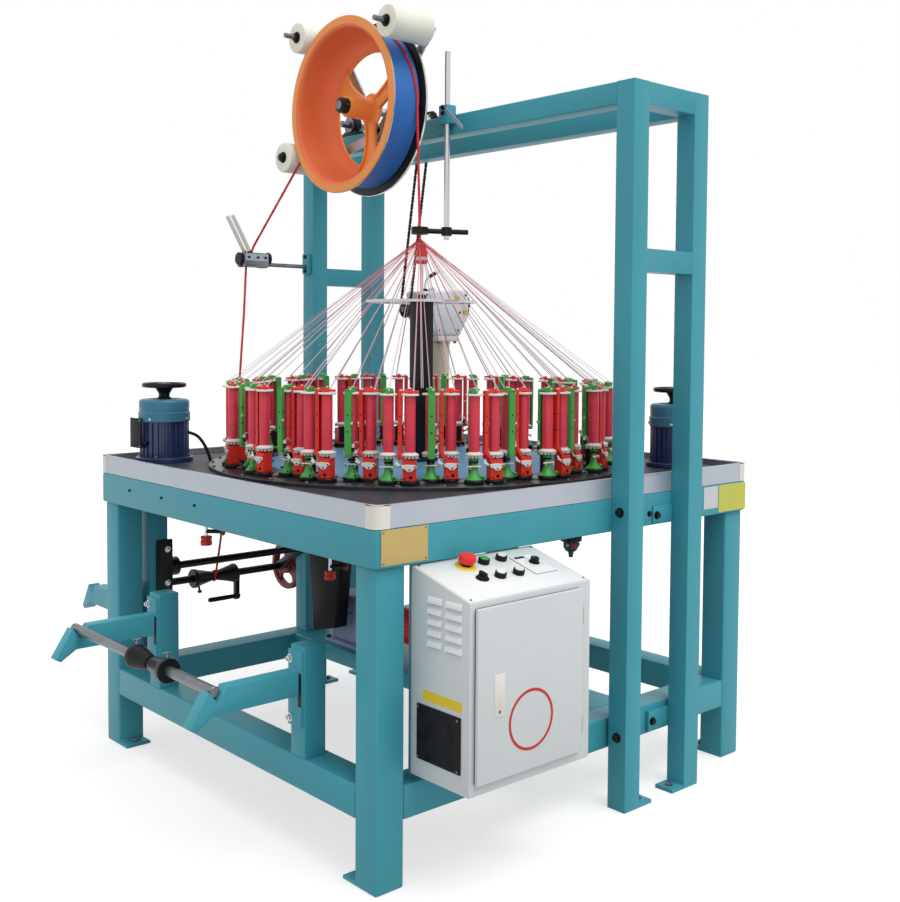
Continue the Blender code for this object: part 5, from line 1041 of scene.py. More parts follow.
def make_rope_guide():
    """The braid guide on the rear left post: a slotted block, two fingers and a round plate at each end."""
    guide = Piece("rope_guide_look")
    y, low = PORTAL_Y, 1.485
    left, right = -0.19, -0.095
    s0, s1 = left + 0.006, left + 0.068
    guide.add(
        GREY_STEEL,
        box((left, y - 0.025, low + 0.004), (right, y - 0.0095, low + 0.052), 0.003),
        box((left, y + 0.0095, low + 0.004), (right, y + 0.025, low + 0.052), 0.003),
    )
    guide.add(
        BLACK,
        box((s1, y - 0.012, low + 0.002), (right, y + 0.012, low + 0.05), 0.002),
        box((left, y - 0.012, low + 0.002), (s0, y + 0.012, low + 0.05), 0.001, 1),
    )
    guide.add(RIM, box((left + 0.004, y - 0.0265, low + 0.024),
            (right - 0.004, y - 0.0245, low + 0.048), 0.0006, 1))
    for dx in (0.016, 0.05, 0.08):
        guide.add(BLACK, cap_screw((left + dx, y - 0.0265, low + 0.036), -Y, 0.0042))
    cheek = mm((0, 0), (20, 0), (22, 2), (22, 8), (20, 10), (0, 10))
    guide.add(
        BLACK,
        lathe(cheek, (left - 0.001, y, low + 0.03), -X),
        lathe(cheek, (right + 0.001, y - 0.006, low + 0.034), X),
    )
    guide.add(GREY_STEEL, bar((right - 0.01, y, low + 0.015), (0.074, y, low + 0.015), 0.007, 24))
    guide.add(TEAL, box((0.068, y - 0.02, low - 0.01), (POST_FACE, y + 0.02, low + 0.06), 0.002))
    for dz in (0.0, 0.05):
        guide.add(BLACK, bolt((0.068, y, low + dz), -X, 0.0055))
    root = Vector((left + 0.025, y, low + 0.045))
    for side in (-1, 1):
        start = root + Vector((0.004, side * 0.017, 0))
        end = start + Vector((-0.07, 0, 0.127))
        guide.add(WHITE, bar(start, end, 0.0068, edge=0.001))
        guide.add(BLACK, bar(start, start.lerp(end, 0.1), 0.0078, edge=0.001))
        guide.add(RIM, bar(start.lerp(end, 0.98), end, 0.006, edge=0.0008))
    guide.done("frame", "rope_guide", slot="bright_steel")


def braid_path():
    """The braid's own line: up from the ring, round the wheel, over the low roller and down to the winder."""
    wheel, roller = WHEEL.yz, Vector(roller_axis(ROLLERS["roller_low"]))
    on_wheel, on_roller, on_winder = 0.2464, 0.0514, 0.016
    between = roller - wheel
    across = degrees(atan2(between.y, between.x))
    leave = across + degrees(acos((on_wheel + on_roller) / between.length))
    guide = Vector((PORTAL_Y, 1.56))
    onward = guide - roller
    drop = degrees(atan2(onward.y, onward.x)) + degrees(asin(on_roller / onward.length))
    points = row((-0.013, -0.0053, 1.556), (-0.0215, wheel.x - on_wheel, 1.9), 8)
    turns = 40
    for i in range(turns + 1):
        share = i / turns
        a = radians(180.0 + (leave - 180.0) * share)
        points.append(Vector((-0.023 - 0.077 * share, wheel.x + on_wheel * cos(a),
                wheel.y + on_wheel * sin(a))))
    first, last = leave + 180.0, drop + 270.0
    for i in range(9):
        a = radians(first + (last - first) * i / 8)
        points.append(Vector((-0.106 - 0.009 * i / 8, roller.x + on_roller * cos(a),
                roller.y + on_roller * sin(a))))
    points.append(Vector((-0.1406, PORTAL_Y, 1.56)))
    points.append(Vector((-0.1704, PORTAL_Y, 1.485)))
    points += [Vector((-0.174, 0.738, 1.33)), Vector((-0.182, 0.752, 1.118)), Vector((-0.222, 0.758, 0.76))]
    for i in range(13):
        a = radians(180.0 + 270.0 * i / 12)
        points.append(Vector((-0.273 + 0.006 * i / 12, WINDER.y + on_winder * cos(a),
                WINDER.z + on_winder * sin(a))))
    return points


def make_braid():
    """The finished braid: eight strands that cross over a core."""
    braid = Piece("braid_look")
    rough = braid_path()
    points = []
    for a, b in zip(rough, rough[1:]):
        steps = max(1, round((b - a).length / 0.0045))
        points += [a.lerp(b, i / steps) for i in range(steps)]
    points.append(rough[-1])
    braid.add(ROPE, sweep(points, 0.0034, 8))
    normal = X
    frames, travelled, last = [], 0.0, points[0]
    for i, point in enumerate(points):
        before, after = points[max(0, i - 1)], points[min(len(points) - 1, i + 1)]
        way = (after - before).normalized()
        normal = (normal - way * normal.dot(way)).normalized()
        travelled += (point - last).length
        last = point
        frames.append((point, normal.copy(), way.cross(normal), travelled))
    for strand in range(8):
        hand = 1 if strand % 2 else -1
        line = []
        for point, one, two, along in frames:
            turn = hand * tau * along / 0.03 + tau * (strand // 2) / 4
            reach = 0.003 + 0.0003 * cos(tau * along / 0.0075 + strand)
            line.append(point + (one * cos(turn) + two * sin(turn)) * reach)
        braid.add(ROPE, sweep(line, 0.0012, 4))
    braid.done("frame", "finished_braid", slot="red_yarn")


# ---------------------------------------------------------------- cabinet

SLOPE = atan2(0.054, 0.2007)
STOP, SELECTOR, SPEED = (-0.468, 0.158), (-0.474, 0.092), (-0.282, 0.12)


def on_console(x, up):
    """The frame of a point on the console: Z stands off it and Y runs up its slope."""
    return move((x, -0.889, 0.688)) @ turned(SLOPE, "X") @ move((0, up, 0))


def make_cabinet():
    """The control cabinet with its louvres, fan grille, white console and the controls' fixed rings."""
    cabinet = Piece("cabinet_look").add(CABINET, cad("cabinet_body", 0.0035, 3))
    here = on_console(0, 0)
    cabinet.add(CONSOLE, box((-0.5855, 0.004, 0.0), (-0.2125, 0.203, 0.0012), 0.0006, 1), place=here)
    for x in (-0.578, -0.22):
        for up in (0.012, 0.195):
            cabinet.add(GREY_STEEL, cap_screw((0, 0, 0.001), Z, 0.0026), place=on_console(x, up))
    for z in (0.667, 0.6425, 0.618, 0.5935, 0.569):
        for near, far in ((-0.797, -0.75), (-0.864, -0.811)):
            hood = mm((0, 0), (-5.2, 0.4), (-6.2, 2), (-5.6, 8), (-2.6, 14), (0, 15.8))
            shape = prism(hood, far - near, move((-0.5896, far, z)) @ along_y(0), 0.0007, 1)
            cabinet.add(CONSOLE, shape)
            cabinet.add(GREY_STEEL, box((-0.5935, near + 0.003, z - 0.0006),
                    (-0.5897, far - 0.003, z + 0.0004)))
    cabinet.add(RUBBER, box((-0.5945, -0.863, 0.306), (-0.59, -0.714, 0.433), 0.002))
    for y in (-0.827, -0.75):
        for z in (0.337, 0.402):
            for radius in (0.008, 0.015, 0.022, 0.029):
                cabinet.add(BLACK, torus((-0.5948, y, z), X, radius, 0.0011, 28, 6))
            for turn in range(4):
                a = radians(45 * turn + 20)
                way = Vector((0, cos(a), sin(a))) * 0.03
                centre = Vector((-0.5952, y, z))
                cabinet.add(BLACK, bar(centre - way, centre + way, 0.0009, 6))
    for y in (-0.856, -0.721):
        for z in (0.313, 0.426):
            cabinet.add(GREY_STEEL, cap_screw((-0.5945, y, z), -X, 0.0028))
    cabinet.add(YELLOW, box((-0.5906, -0.865, 0.443), (-0.5898, -0.732, 0.467), 0.0003, 1))
    stop = on_console(*STOP)
    ring = mm((12.5, 1), (26.2, 1), (26.2, 2.6), (25, 3.6), (16, 5), (12.5, 5))
    cabinet.add(YELLOW, hoop(ring, sides=40), place=stop)
    for x, up, look in ((-0.411, 0.16, GREEN), (-0.353, 0.162, WHITE), (-0.423, 0.087, IVORY),
            (-0.367, 0.085, WHITE)):
        bezel = mm((0, 1), (13.5, 1), (14, 2), (14, 12), (13, 13.5), (11.2, 13.5), (10.8, 12), (0, 12))
        cabinet.add(SOCKET, lathe(bezel, sides=28), place=on_console(x, up))
        lens = mm((0, 11.5), (10.6, 11.5), (10.8, 14.5), (9.8, 16), (0, 16.6))
        cabinet.add(look, lathe(lens, sides=24), place=on_console(x, up))
    bezel = mm((12.5, 1), (16, 1), (16, 3.5), (15, 4.5), (12.5, 4.5))
    cabinet.add(SOCKET, hoop(bezel, sides=28), place=on_console(*SELECTOR))
    # The speed dial's plate carries a thin border and a plain scale of ticks round its knob.
    cabinet.add(GREY_STEEL, box((-0.326, 0.066, 0.001), (-0.255, 0.162, 0.0022), 0.0005, 1), place=here)
    cabinet.add(CONSOLE, box((-0.3248, 0.0672, 0.002), (-0.2562, 0.1608, 0.0028), 0.0003, 1), place=here)
    cabinet.add(DARK_STEEL, box((-0.318, 0.148, 0.0027), (-0.285, 0.157, 0.0036), 0.0003, 1), place=here)
    for i in range(11):
        turn = on_console(*SPEED) @ turned(radians(-45 + 27 * i))
        long = 0.0245 if i % 5 == 0 else 0.0225
        cabinet.add(SOCKET, box((0.0185, -0.0004, 0.0026), (long, 0.0004, 0.0031)), place=turn)
    cabinet.done("frame", "cabinet_body", slot="cabinet_paint")
    door = Piece("door_look")
    door.add(CABINET, box((-0.578, -0.9032, 0.288), (-0.246, -0.8935, 0.676), 0.0022, 3))
    # Painted shade: a black backing box sits in the seam behind the door's edge and darkens the gap.
    door.add(SOCKET, box((-0.5755, -0.8945, 0.2905), (-0.2485, -0.8901, 0.6755), 0.0008, 1))
    door.add(CABINET, box((-0.569, -0.8903, 0.297), (-0.255, -0.8896, 0.669), 0.0003, 1))
    door.add(GREY, box((-0.5302, -0.9034, 0.4288), (-0.4988, -0.9025, 0.5242), 0.0004, 1))
    door.add(CREAM, box((-0.5296, -0.905, 0.4294), (-0.4994, -0.9025, 0.5236), 0.0012))
    door.add(WHITE, box((-0.5235, -0.9053, 0.45), (-0.5055, -0.904, 0.518), 0.0006))
    door.add(GREY_STEEL, disc(0.004, 0.0006, (-0.5145, -0.9047, 0.441), -Y, 20))
    door.add(SOCKET, box((-0.5151, -0.9053, 0.4385), (-0.5139, -0.905, 0.4435)))
    ring = mm((63.2, 0), (70.2, 0), (70.2, 0.4), (63.2, 0.4))
    door.add(RED_INK, hoop(ring, (-0.4155, -0.9031, 0.403), -Y, 80))
    for z in (0.35, 0.61):
        door.add(GREY_STEEL, bar((-0.2455, -0.8975, z - 0.02), (-0.2455, -0.8975, z + 0.02), 0.0042,
                14, edge=0.0006))
    door.done("door", "cabinet_door", slot="cabinet_paint")


def make_controls():
    """The mushroom stop button, the selector with its grip and the fluted speed knob."""
    stop = Piece("stop_button_look")
    stem = mm((0, -12), (11, -12), (11, 16.5), (0, 16.5))
    stop.add(SOCKET, lathe(stem, sides=24), place=on_console(*STOP))
    head = mm((0, 12.4), (18.8, 12.4), (20.2, 13.8), (21, 20.5), (20.7, 26), (18.5, 29.5), (15, 30.8),
            (11, 31), (0, 30.4))
    stop.add(RED, lathe(head, sides=40), place=on_console(*STOP))
    stop.done("button", "stop_button", slot="red_plastic")
    selector = Piece("selector_look")
    base = mm((0, 0.3), (12, 0.3), (12, 8), (10.8, 9.5), (0, 9.5))
    selector.add(
        SOCKET,
        lathe(base, sides=28),
        box((-0.0042, -0.0118, 0.0085), (0.0042, 0.0118, 0.018), 0.0016),
        place=on_console(*SELECTOR),
    )
    selector.add(WHITE, box((-0.0007, 0.004, 0.0176), (0.0007, 0.0112, 0.0182)),
            place=on_console(*SELECTOR))
    selector.done("selector", "selector_knob", slot="black_iron")
    speed = Piece("speed_look")
    skirt = mm((0, 3), (13.8, 3), (13.5, 4.8), (11.2, 6), (0, 6))
    speed.add(
        SOCKET,
        lathe(skirt),
        prism(star(0.0108, 12, 4, 0.08), 0.0102, move((0, 0, 0.0058)), 0.0006, 1),
        place=on_console(*SPEED),
    )
    speed.add(WHITE, box((-0.0006, 0.003, 0.0156), (0.0006, 0.01, 0.0162)), place=on_console(*SPEED))
    speed.done("speed", "speed_knob", slot="black_iron")


# ---------------------------------------------------------------- motors


def ribbed(centre, axis, inner, outer, ribs, long):
    """A motor's finned body along an axis."""
    outline = []
    for i in range(ribs):
        for share, radius in ((-0.3, inner), (-0.17, outer), (0.17, outer), (0.3, inner)):
            turn = tau * (i + share) / ribs
            outline.append(on_circle(radius, turn))
    return prism(outline, long, place_at(centre, axis))


def make_motor(side, x, y, out, box_y):
    """An upright motor with its terminal box on one side, and the handwheel on top."""
    middle = Vector((x, y, 0))
    motor = Piece(f"motor_{side}_look")
    foot = [(0, DECK), (0.0835, DECK), (0.085, 0.8738), (0.085, 0.8845), (0.0835, 0.886),
            (0.074, 0.887), (0, 0.887)]
    motor.add(NAVY, lathe(foot, (x, y, 0), sides=48))
    if side == "left":
        cable = [(x + 0.05, y - 0.046, 0.962), (x + 0.074, y - 0.07, 0.948), (x + 0.092, y - 0.086, 0.915),
                (x + 0.104, y - 0.096, 0.872)]
        motor.add(RUBBER, sweep(curve_points(cable, 6), 0.0048, 12))
    for i in range(4):
        a = radians(45 + 90 * i)
        motor.add(GREY_STEEL, bolt(middle + Vector(on_circle(0.0785, a, 0.8862)), Z, 0.0048, False))
    motor.add(NAVY, ribbed((x, y, 0.886), Z, 0.0672, 0.073, 24, 0.1095))
    cap = mm((0, 994.5), (75.5, 994.5), (76.8, 996), (76.8, 1019), (77, 1021.5), (73.8, 1024), (74.5, 1050),
            (73.5, 1056), (70.5, 1060), (65, 1061.6), (50, 1062), (0, 1062))
    motor.add(CAP_BLUE, lathe(cap, (x, y, 0), sides=56))
    for i in range(4):
        a = radians(31 + 90 * i)
        motor.add(STEEL, cap_screw(middle + Vector(on_circle(0.0764, a, 1.003)),
                on_circle(1, a, 0), 0.0042))
    for i in range(16):
        turn = move((x, y, 1.0613)) @ part_turn(i, 16)
        motor.add(SOCKET, box((0.024, -0.0016, 0), (0.048, 0.0016, 0.0011), 0.0005, 1), place=turn)
    near, far = sorted((x + out * 0.06, x + out * 0.079))
    motor.add(NAVY, box((near, box_y - 0.033, 0.917), (far, box_y + 0.033, 1.003), 0.003))
    near, far = sorted((x + out * 0.0793, x + out * 0.0845))
    motor.add(RUBBER, box((near, box_y - 0.035, 0.915), (far, box_y + 0.035, 1.005), 0.0018))
    for dy in (-0.03, 0.03):
        for z in (0.921, 0.999):
            motor.add(GREY_STEEL, disc(0.003, 0.0012, (x + out * 0.0841, box_y + dy, z), (out, 0, 0), 12))
    gland = mm((0, 0), (9, 0), (9, 6), (7.5, 8), (6, 14), (0, 14))
    motor.add(BLACK, lathe(gland, (x + out * 0.07, box_y - 0.0325, 0.93), -Y, 18))
    motor.add(GREY_STEEL, bar((x, y, 1.0615), (x, y, 1.0827), 0.009, edge=0.0008))
    flare = mm((9, 1061.5), (26, 1061.5), (23, 1065), (16.5, 1068), (16, 1076), (18.5, 1082.4), (9, 1082.4))
    motor.add(
        BLACK,
        hoop(flare, (x, y, 0)),
        bar((x - 0.01, y - 0.01, 1.069), (x - 0.026, y - 0.022, 1.07), 0.005, 14, edge=0.001),
    )
    motor.done("frame", f"motor_{side}", slot="navy_paint")
    wheel = Piece(f"handwheel_{side}_look")
    rim = mm((66, 1103.5), (65, 1109), (61.5, 1111), (56, 1109.5), (53, 1105), (54.5, 1099.5),
            (60, 1097.2), (64.5, 1099))
    wheel.add(BLACK, hoop(rim, (x, y, 0), sides=56))
    hub = mm((0, 1083), (19, 1083), (20.5, 1085), (25, 1093), (33, 1098.5), (33, 1103), (17, 1109),
            (12, 1110.5), (0, 1110.5))
    wheel.add(BLACK, lathe(hub, (x, y, 0)))
    wheel.add(STEEL, lathe(mm((0, 0), (7.5, 0), (7, 0.5), (0, 0.5)), (x, y, 1.1104), Z, 20))
    for i in range(4):
        turn = move((x, y, 0)) @ part_turn(i, 4)
        spoke = prism(mm((20, -6.5), (58, -4.5), (58, 4.5), (20, 6.5)), 0.006, move((0, 0, 1.0992)), 0.0018)
        wheel.add(BLACK, spoke, place=turn)
    wheel.done(f"handwheel_{side}_body", f"handwheel_{side}", slot="black_iron")


# ---------------------------------------------------------------- let-off and winder


def make_let_off():
    """The notched arms on their slotted plates, and the bar with its two cones."""
    for name, y in (("near", -0.375), ("far", 0.37)):
        arm = Piece(f"let_off_arm_{name}_look").add(TEAL, cad(f"let_off_arm_{name}", 0.0025))
        arm.add(SOCKET, box((-0.6984, y - 0.028, 0.366), (-0.6973, y - 0.015, 0.448), 0.0002, 1))
        for z in (0.333, 0.478):
            arm.add(
                STEEL,
                bolt((-0.698, y + 0.0185, z), -X),
                bar((-0.705, y + 0.0185, z), (-0.711, y + 0.0185, z), 0.0042, 12, edge=0.0008),
            )
        arm.done("frame", f"let_off_arm_{name}", slot="teal_paint")
    let_off = Piece("let_off_bar_look")
    axis = Vector((-0.915, 0, 0.444))
    let_off.add(GREY_STEEL, bar(axis - Y * 0.38, axis + Y * 0.392, 0.0129, 32, edge=0.0015))
    for start, end in ((-0.16, -0.078), (0.02, -0.062)):
        way = 1 if end > start else -1
        cone = mm((13, 0), (29.5, 0), (31, 2), (31, 16), (29.5, 18.5), (18.5, 83), (17, 85), (13, 85))
        let_off.add(BLACK, hoop(cone, axis + Y * start, (0, way, 0), 44))
        screw = axis + Vector((0, start + way * 0.009, 0.03))
        let_off.add(GREY_STEEL, bar(screw, screw + Z * 0.014, 0.0035, 12, edge=0.0006))
        top = screw + Z * 0.0135
        let_off.add(GREY_STEEL, bar(top - X * 0.01, top + X * 0.01, 0.0028, 10, edge=0.0006))
    let_off.done("let_off", "let_off_bar", slot="black_iron")


def spoked_disc(piece, centre):
    """The winder's dark red cast wheel: a toothed rim and three broad spokes with rounded windows."""
    rim = mm((70, 0), (83, 0), (84, 1.5), (84, 22.5), (83, 24), (70, 24), (69, 22.5), (69, 1.5))
    piece.add(CAST_RED, hoop(rim, centre, X, 64))
    for i in range(60):
        turn = move(centre) @ part_turn(i, 60, "X")
        piece.add(CAST_RED, box((0.003, -0.0016, 0.083), (0.021, 0.0016, 0.086), 0.0006, 1), place=turn)
    for i in range(3):
        turn = move(centre) @ part_turn(i, 3, "X")
        half = mm((20, 18), (16, 32), (17, 46), (26, 58), (42, 66))
        outline = half + [(-y, z) for y, z in reversed(half)]
        piece.add(CAST_RED, prism(outline, 0.012, turn @ along_x(0.006), 0.003))
    hub = mm((12, -2), (28, -2), (30, 0), (30, 24), (28, 26), (12, 26))
    piece.add(CAST_RED, hoop(hub, centre, X, 36))


def make_winder():
    """The winder: its brackets, cone shaft with crank, dark red spoked wheel, and jack shaft."""
    brackets = Piece("winder_brackets_look")
    brackets.add(BLACK, cad("winder_bracket_left", 0.0018))
    arm = arc(WINDER.yz, 0.019, -125, 60, 12) + [(0.7153, 0.4895)]
    arm += arc(JACK.yz, 0.019, 60, 235, 12) + [(0.7047, 0.4725)]
    brackets.add(BLACK, prism(arm, 0.01, along_x(-0.0143), 0.0015))
    for z in (0.49, 0.578):
        brackets.add(GREY_STEEL, bolt((-0.5107, 0.619, z), -Y, 0.0065))
    brackets.add(BLACK, box((-0.56, 0.608, 0.45), (-0.5075, 0.6175, 0.616), 0.0015))
    for z in (0.479, 0.585):
        brackets.add(STEEL, bolt((-0.525, 0.608, z), -Y, 0.007))
    brackets.done("frame", "winder_bracket_left", "winder_bracket_right", slot="black_iron")
    winder = Piece("winder_shaft_look")
    winder.add(BLACK, bar(WINDER - X * 0.5197, WINDER + X * 0.074, 0.0124, 28, edge=0.0012))
    for start, way in ((-0.351, 1), (-0.189, -1)):
        cone = mm((12.4, 0), (30, 0), (32, 2), (32, 11), (30, 14), (22, 46), (16, 73), (12.4, 73))
        winder.add(BLACK, hoop(cone, WINDER + X * start, (way, 0, 0), 44))
    screw = WINDER - X * 0.33
    winder.add(BLACK, bar(screw, screw + Vector((0, -0.012, -0.042)), 0.0035, 12, edge=0.0006))
    knob = mm((0, 0), (6.5, 0), (7.5, 2), (6.5, 8), (0, 10))
    winder.add(BLACK, lathe(knob, screw + Vector((0, -0.0115, -0.04)), (0, -0.012, -0.042), 18))
    arm = mm((-11, 12), (-13, 0), (-9, -30), (-9, -72), (-12, -82))
    arm += arc((0.0, -0.082), 0.012, 180, 360, 10)[1:]
    arm += mm((9, -72), (9, -30), (13, 0), (11, 12))
    winder.add(BLACK, prism(arm, 0.016, move(WINDER) @ along_x(-0.191), 0.002))
    grip = WINDER + Vector((-0.189, 0, -0.082))
    handle = mm((0, 0), (6.5, 0), (7.5, 10), (8, 50), (8, 95), (6.5, 100), (0, 101))
    winder.add(RUBBER, lathe(handle, grip, -X, 24))
    winder.add(BLACK, disc(0.007, 0.004, grip + X * 0.014, X, 6))
    spoked_disc(winder, WINDER + X * 0.012)
    sprocket(winder, WINDER + X * 0.0635)
    winder.done("winder", "winder_shaft", slot="black_iron")
    jack = Piece("jack_shaft_look")
    jack.add(BLACK, bar(JACK - X * 0.5197, JACK + X * 0.074, 0.0119, 28, edge=0.0012))
    sprocket(jack, JACK + X * 0.0635)
    jack.done("jack", "jack_shaft", slot="black_iron")
    chain("winder_chain", 0.066, (JACK.yz, WINDER.yz))


# ---------------------------------------------------------------- drive under the bed


OILERS = (((-0.585, 0.255), 0.655), ((0.139, -0.5), 0.675), ((-0.194, 0.2), 0.51))


def make_drive():
    """The slate worm gearbox with its red motor, the black belt guard, and the oil fittings under the bed."""
    x, y, z = 0.035, 0.37, 0.345
    drive = Piece("drive_look")
    drive.add(
        SLATE_BLUE,
        box((x - 0.065, y - 0.095, 0.2373), (x + 0.075, y + 0.095, 0.251), 0.003),
        box((x - 0.053, y - 0.078, 0.249), (x + 0.058, y + 0.078, 0.407), 0.016, 4),
    )
    for dx in (-0.04, -0.02, 0.0, 0.02, 0.04):
        drive.add(SLATE_BLUE, box((x + dx - 0.0022, y - 0.0815, 0.258),
                (x + dx + 0.0022, y + 0.0795, 0.398), 0.0015, 1))
    flange = mm((0, 0), (50, 0), (50, 8), (46, 11), (46, 30), (30, 32.5), (0, 32.5))
    drive.add(SLATE_BLUE, lathe(flange, (x - 0.0525, y, z + 0.01), -X, 44))
    for i in range(6):
        a = tau * i / 6
        drive.add(BLACK, bolt((x - 0.06, y + 0.0475 * cos(a), z + 0.01 + 0.0475 * sin(a)),
                -X, 0.0035, False))
    for dx in (-0.055, 0.065):
        for dy in (-0.085, 0.085):
            drive.add(BLACK, bolt((x + dx, y + dy, 0.251), Z, 0.007))
    start = y - 0.078
    ring = mm((0, 0), (62, 0), (62, 10), (55, 13), (55, 20), (0, 20))
    drive.add(CAST_RED, lathe(ring, (x, start, z), -Y, 44))
    drive.add(RED, ribbed((x, start - 0.018, z), -Y, 0.0495, 0.054, 30, 0.25))
    cap = mm((0, 0), (54.5, 0), (56, 2), (56, 46), (53, 55), (46, 60), (0, 60))
    drive.add(
        RED,
        lathe(cap, (x, start - 0.266, z), -Y, 44),
        box((x - 0.03, start - 0.13, z + 0.046), (x + 0.03, start - 0.05, z + 0.084), 0.003),
    )
    drive.done("frame", "drive_gearbox", slot="grey_casting")
    guard = Piece("belt_guard_look").add(RUBBER, cad("belt_guard", 0.004))
    guard.done("frame", "belt_guard", slot="black_iron")
    oil = Piece("oil_fittings")
    for spot, drop in OILERS[:1] + OILERS[2:]:
        top = Vector((*spot, 0.8333))
        oil.add(STEEL, bar(top, Vector((*spot, drop + 0.02)), 0.005, 16))
        cup = mm((0, 0), (15, 0), (16.5, 2), (16.5, 12), (14.5, 14), (14.5, 18), (16.5, 20), (16.5, 24),
                (15, 26), (0, 26))
        oil.add(RED, lathe(cup, (*spot, drop), Z, 24))
        side = Vector((spot[0] + 0.03, spot[1] - 0.03, drop + 0.04))
        oil.add(BLACK, bar((*spot, drop + 0.04), side, 0.006, 14, edge=0.001))
        oil.add(CAST_RED, disc(0.009, 0.012, side, (0.7, -0.7, -0.3), 18))
    spot, drop = OILERS[1]
    oil.add(DARK_STEEL, bar((*spot, 0.8333), (*spot, drop + 0.02), 0.006, 16))
    grip = mm((0, 12), (29, 12), (31, 14), (31, 24), (29, 27), (0, 27))
    oil.add(BLACK, lathe(grip, (*spot, drop), Z, 30))
    oil.add(YELLOW, lathe(mm((0, 27), (12, 27), (10, 32), (0, 32)), (*spot, drop), Z, 20))
    bowl = mm((0, -34), (6, -34), (8, -20), (17, -14), (22, -4), (22, 12), (0, 12))
    oil.add(DARK_STEEL, lathe(bowl, (*spot, drop), Z, 24))
    for turn in (200, 250, 300):
        a = radians(turn)
        way = Vector(on_circle(1, a, 0))
        oil.add(RED if turn == 250 else GREY_STEEL, lathe(mm((0, 0), (5.5, 0), (4.5, 4), (0, 4)),
                Vector((*spot, drop + 0.003)) + way * 0.021, way, 16))
    oil.done("frame")


def make_plates():
    """The bare plates on the front apron, and the two brackets beside the front post."""
    plates, face = Piece("apron_plates"), -0.7001
    plates.add(
        GOLD,
        box((-0.686, -0.7014, 0.7515), (-0.552, face, 0.832), 0.0005, 1),
        box((-0.682, -0.7018, 0.7555), (-0.556, -0.701, 0.828), 0.0003, 1),
    )
    for x in (-0.68, -0.558):
        for z in (0.757, 0.8265):
            plates.add(GREY_STEEL, lathe(mm((0, 0), (2.8, 0), (2.4, 1), (0, 1.4)), (x, -0.7016, z), -Y, 12))
    plates.add(LABEL, box((0.556, -0.7008, 0.75), (0.69, face, 0.83), 0.0003, 1))
    plates.add(PALE_LABEL, box((0.484, -0.7008, 0.765), (0.552, face, 0.829), 0.0003, 1))
    plates.add(TEAL, box((0.25, -0.705, 0.75), (0.3335, face, 0.798), 0.0012))
    plates.add(
        BLACK,
        bolt((0.238, face, 0.778), -Y, 0.006),
        bolt((0.265, -0.705, 0.772), -Y, 0.0085),
    )
    plates.add(TEAL, box((0.25, -0.7, 0.165), (0.3335, -0.6885, 0.222), 0.0012))
    plates.add(BLACK, bolt((0.265, -0.7, 0.193), -Y, 0.0085))
    plates.done("frame")


# ---------------------------------------------------------------- studio


def seen_plainly(nodes, link):
    """One for rays from the camera, and for those that show in shiny or clear things; else nothing."""
    path = add_node(nodes, "LightPath")
    total = path.outputs["Is Camera Ray"]
    for name in ("Is Glossy Ray", "Is Transmission Ray"):
        more = add_node(nodes, "Math")
        more.operation = "ADD"
        more.use_clamp = True
        link(total, more.inputs[0])
        link(path.outputs[name], more.inputs[1])
        total = more.outputs["Value"]
    return total


def by_ray(tree, unseen, seen, surface):
    """Gives a surface one shader where it is seen and another for the rays that light the scene."""
    nodes, link = tree.nodes, tree.links.new
    pick = add_node(nodes, "MixShader")
    link(seen_plainly(nodes, link), pick.inputs["Fac"])
    link(unseen, pick.inputs[1])
    link(seen, pick.inputs[2])
    link(pick.outputs["Shader"], surface)


def floor_look():
    """Pale matt floor with a little light of its own where it is seen, so that it clears to white."""
    look = finish("floor", (0.5, 0.495, 0.49), 0.8, vary=0.0, bump=0.0, shine=0.0)
    tree = look.node_tree
    nodes, link = tree.nodes, tree.links.new
    both = add_node(nodes, "AddShader")
    link(nodes["Principled BSDF"].outputs["BSDF"], both.inputs[0])
    link(add_node(nodes, "Emission", Strength=0.62).outputs["Emission"], both.inputs[1])
    dim = add_node(nodes, "BsdfDiffuse", Color=(0.45, 0.45, 0.45, 1))
    by_ray(tree, dim.outputs["BSDF"], both.outputs["Shader"], nodes["Material Output"].inputs["Surface"])
    return look


def make_stage():
    """A pale floor that shows white to the camera and keeps the machine's shadow."""
    reach, low = 14, -0.0005
    corners = [(x * reach, y * reach, low) for x, y in ((-1, -1), (1, -1), (1, 1), (-1, 1))]
    mesh = bpy.data.meshes.new("floor")
    mesh.from_pydata(corners, [], [range(4)])
    floor = bpy.data.objects.new("floor", mesh)
    bpy.context.scene.collection.objects.link(floor)
    mesh.materials.append(floor_look())


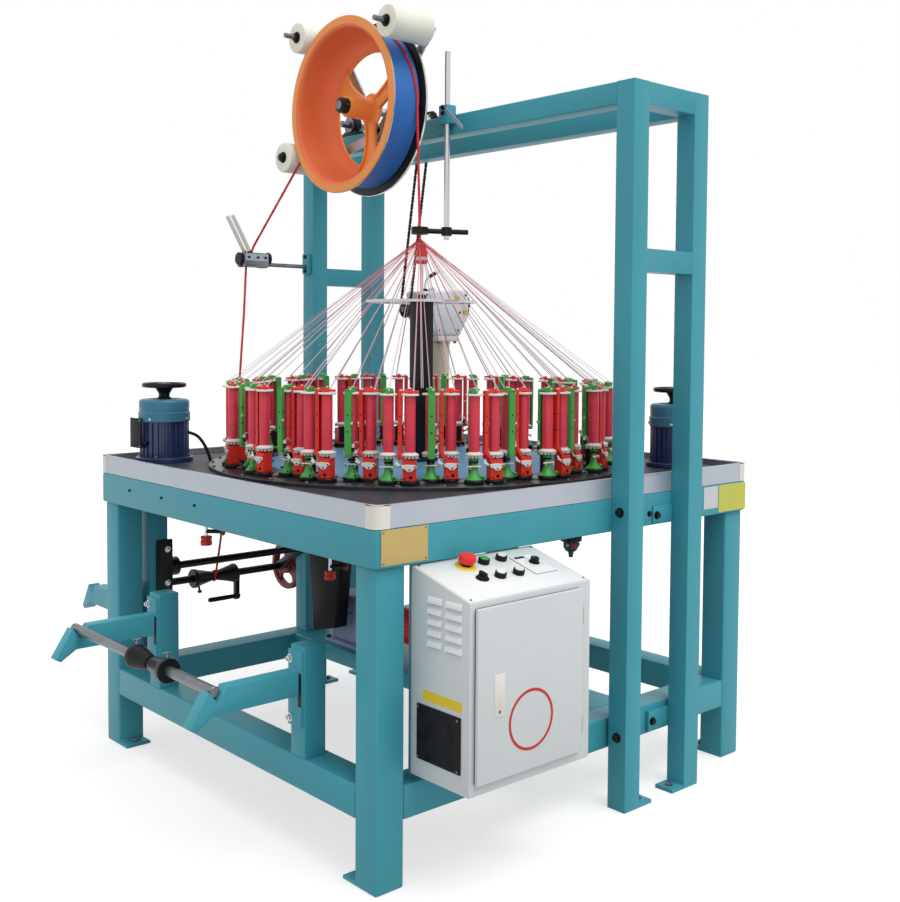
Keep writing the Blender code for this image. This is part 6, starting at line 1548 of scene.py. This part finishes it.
def make_light():
    """A bright even studio with a broad key light from above."""
    world = bpy.data.worlds.new("studio")
    bpy.context.scene.world = world
    world.use_nodes = True
    nodes = world.node_tree.nodes
    back = nodes["Background"]
    back.inputs["Color"].default_value = (1.0, 1.0, 1.0, 1)
    back.inputs["Strength"].default_value = 0.8
    white = add_node(nodes, "Background", Color=(1.0, 1.0, 1.0, 1), Strength=1.0)
    lit, plain = (node.outputs["Background"] for node in (back, white))
    by_ray(world.node_tree, lit, plain, nodes["World Output"].inputs["Surface"])
    key = bpy.data.lights.new("key", "SUN")
    key.energy = 1.25
    key.angle = radians(35)
    lamp = bpy.data.objects.new("key", key)
    lamp.rotation_euler = Vector((0.05, -0.62, 1.1)).to_track_quat("Z", "Y").to_euler()
    bpy.context.scene.collection.objects.link(lamp)


# The fitted camera, in pixels, degrees and metres.
WIDE, HIGH = 900, 902
FOCAL, MIDDLE = 1150.4779, (493.7105, 390.3248)
HEADING = (-42.9622, 2.7422, 0.4976)
VIEWPOINT = Vector((-2.2204, -2.7079, 1.2648))


def make_camera():
    """The photograph's viewpoint: in front of the machine's near left corner."""
    yaw, pitch, roll = (radians(a) for a in HEADING)
    ahead = Vector((-sin(yaw) * cos(pitch), cos(yaw) * cos(pitch), -sin(pitch)))
    right = Vector((cos(yaw), sin(yaw), 0.0))
    up = right.cross(ahead)
    right, up = cos(roll) * right + sin(roll) * up, cos(roll) * up - sin(roll) * right
    data = bpy.data.cameras.new("camera")
    data.sensor_width = 36.0
    data.lens = FOCAL / HIGH * data.sensor_width
    data.shift_x = (WIDE / 2 - MIDDLE[0]) / HIGH
    data.shift_y = (MIDDLE[1] - HIGH / 2) / HIGH
    camera = bpy.data.objects.new("camera", data)
    spin = Matrix((right, up, -ahead)).transposed().to_4x4()
    camera.matrix_world = move(VIEWPOINT + SHIFT) @ spin
    bpy.context.scene.collection.objects.link(camera)
    bpy.context.scene.camera = camera


make_frame()
make_bed()
make_carriers()
make_yarns()
make_wheel()
make_rollers()
make_bearings()
make_shafts()
make_take_up_gearbox()
make_centre()
make_guide_rod()
make_rope_guide()
make_braid()
make_cabinet()
make_controls()
make_motor("left", -0.563, 0.55, -1, 0.572)
make_motor("right", 0.56, -0.53, 1, -0.53)
make_let_off()
make_winder()
make_drive()
make_plates()
make_stage()
make_light()
make_camera()
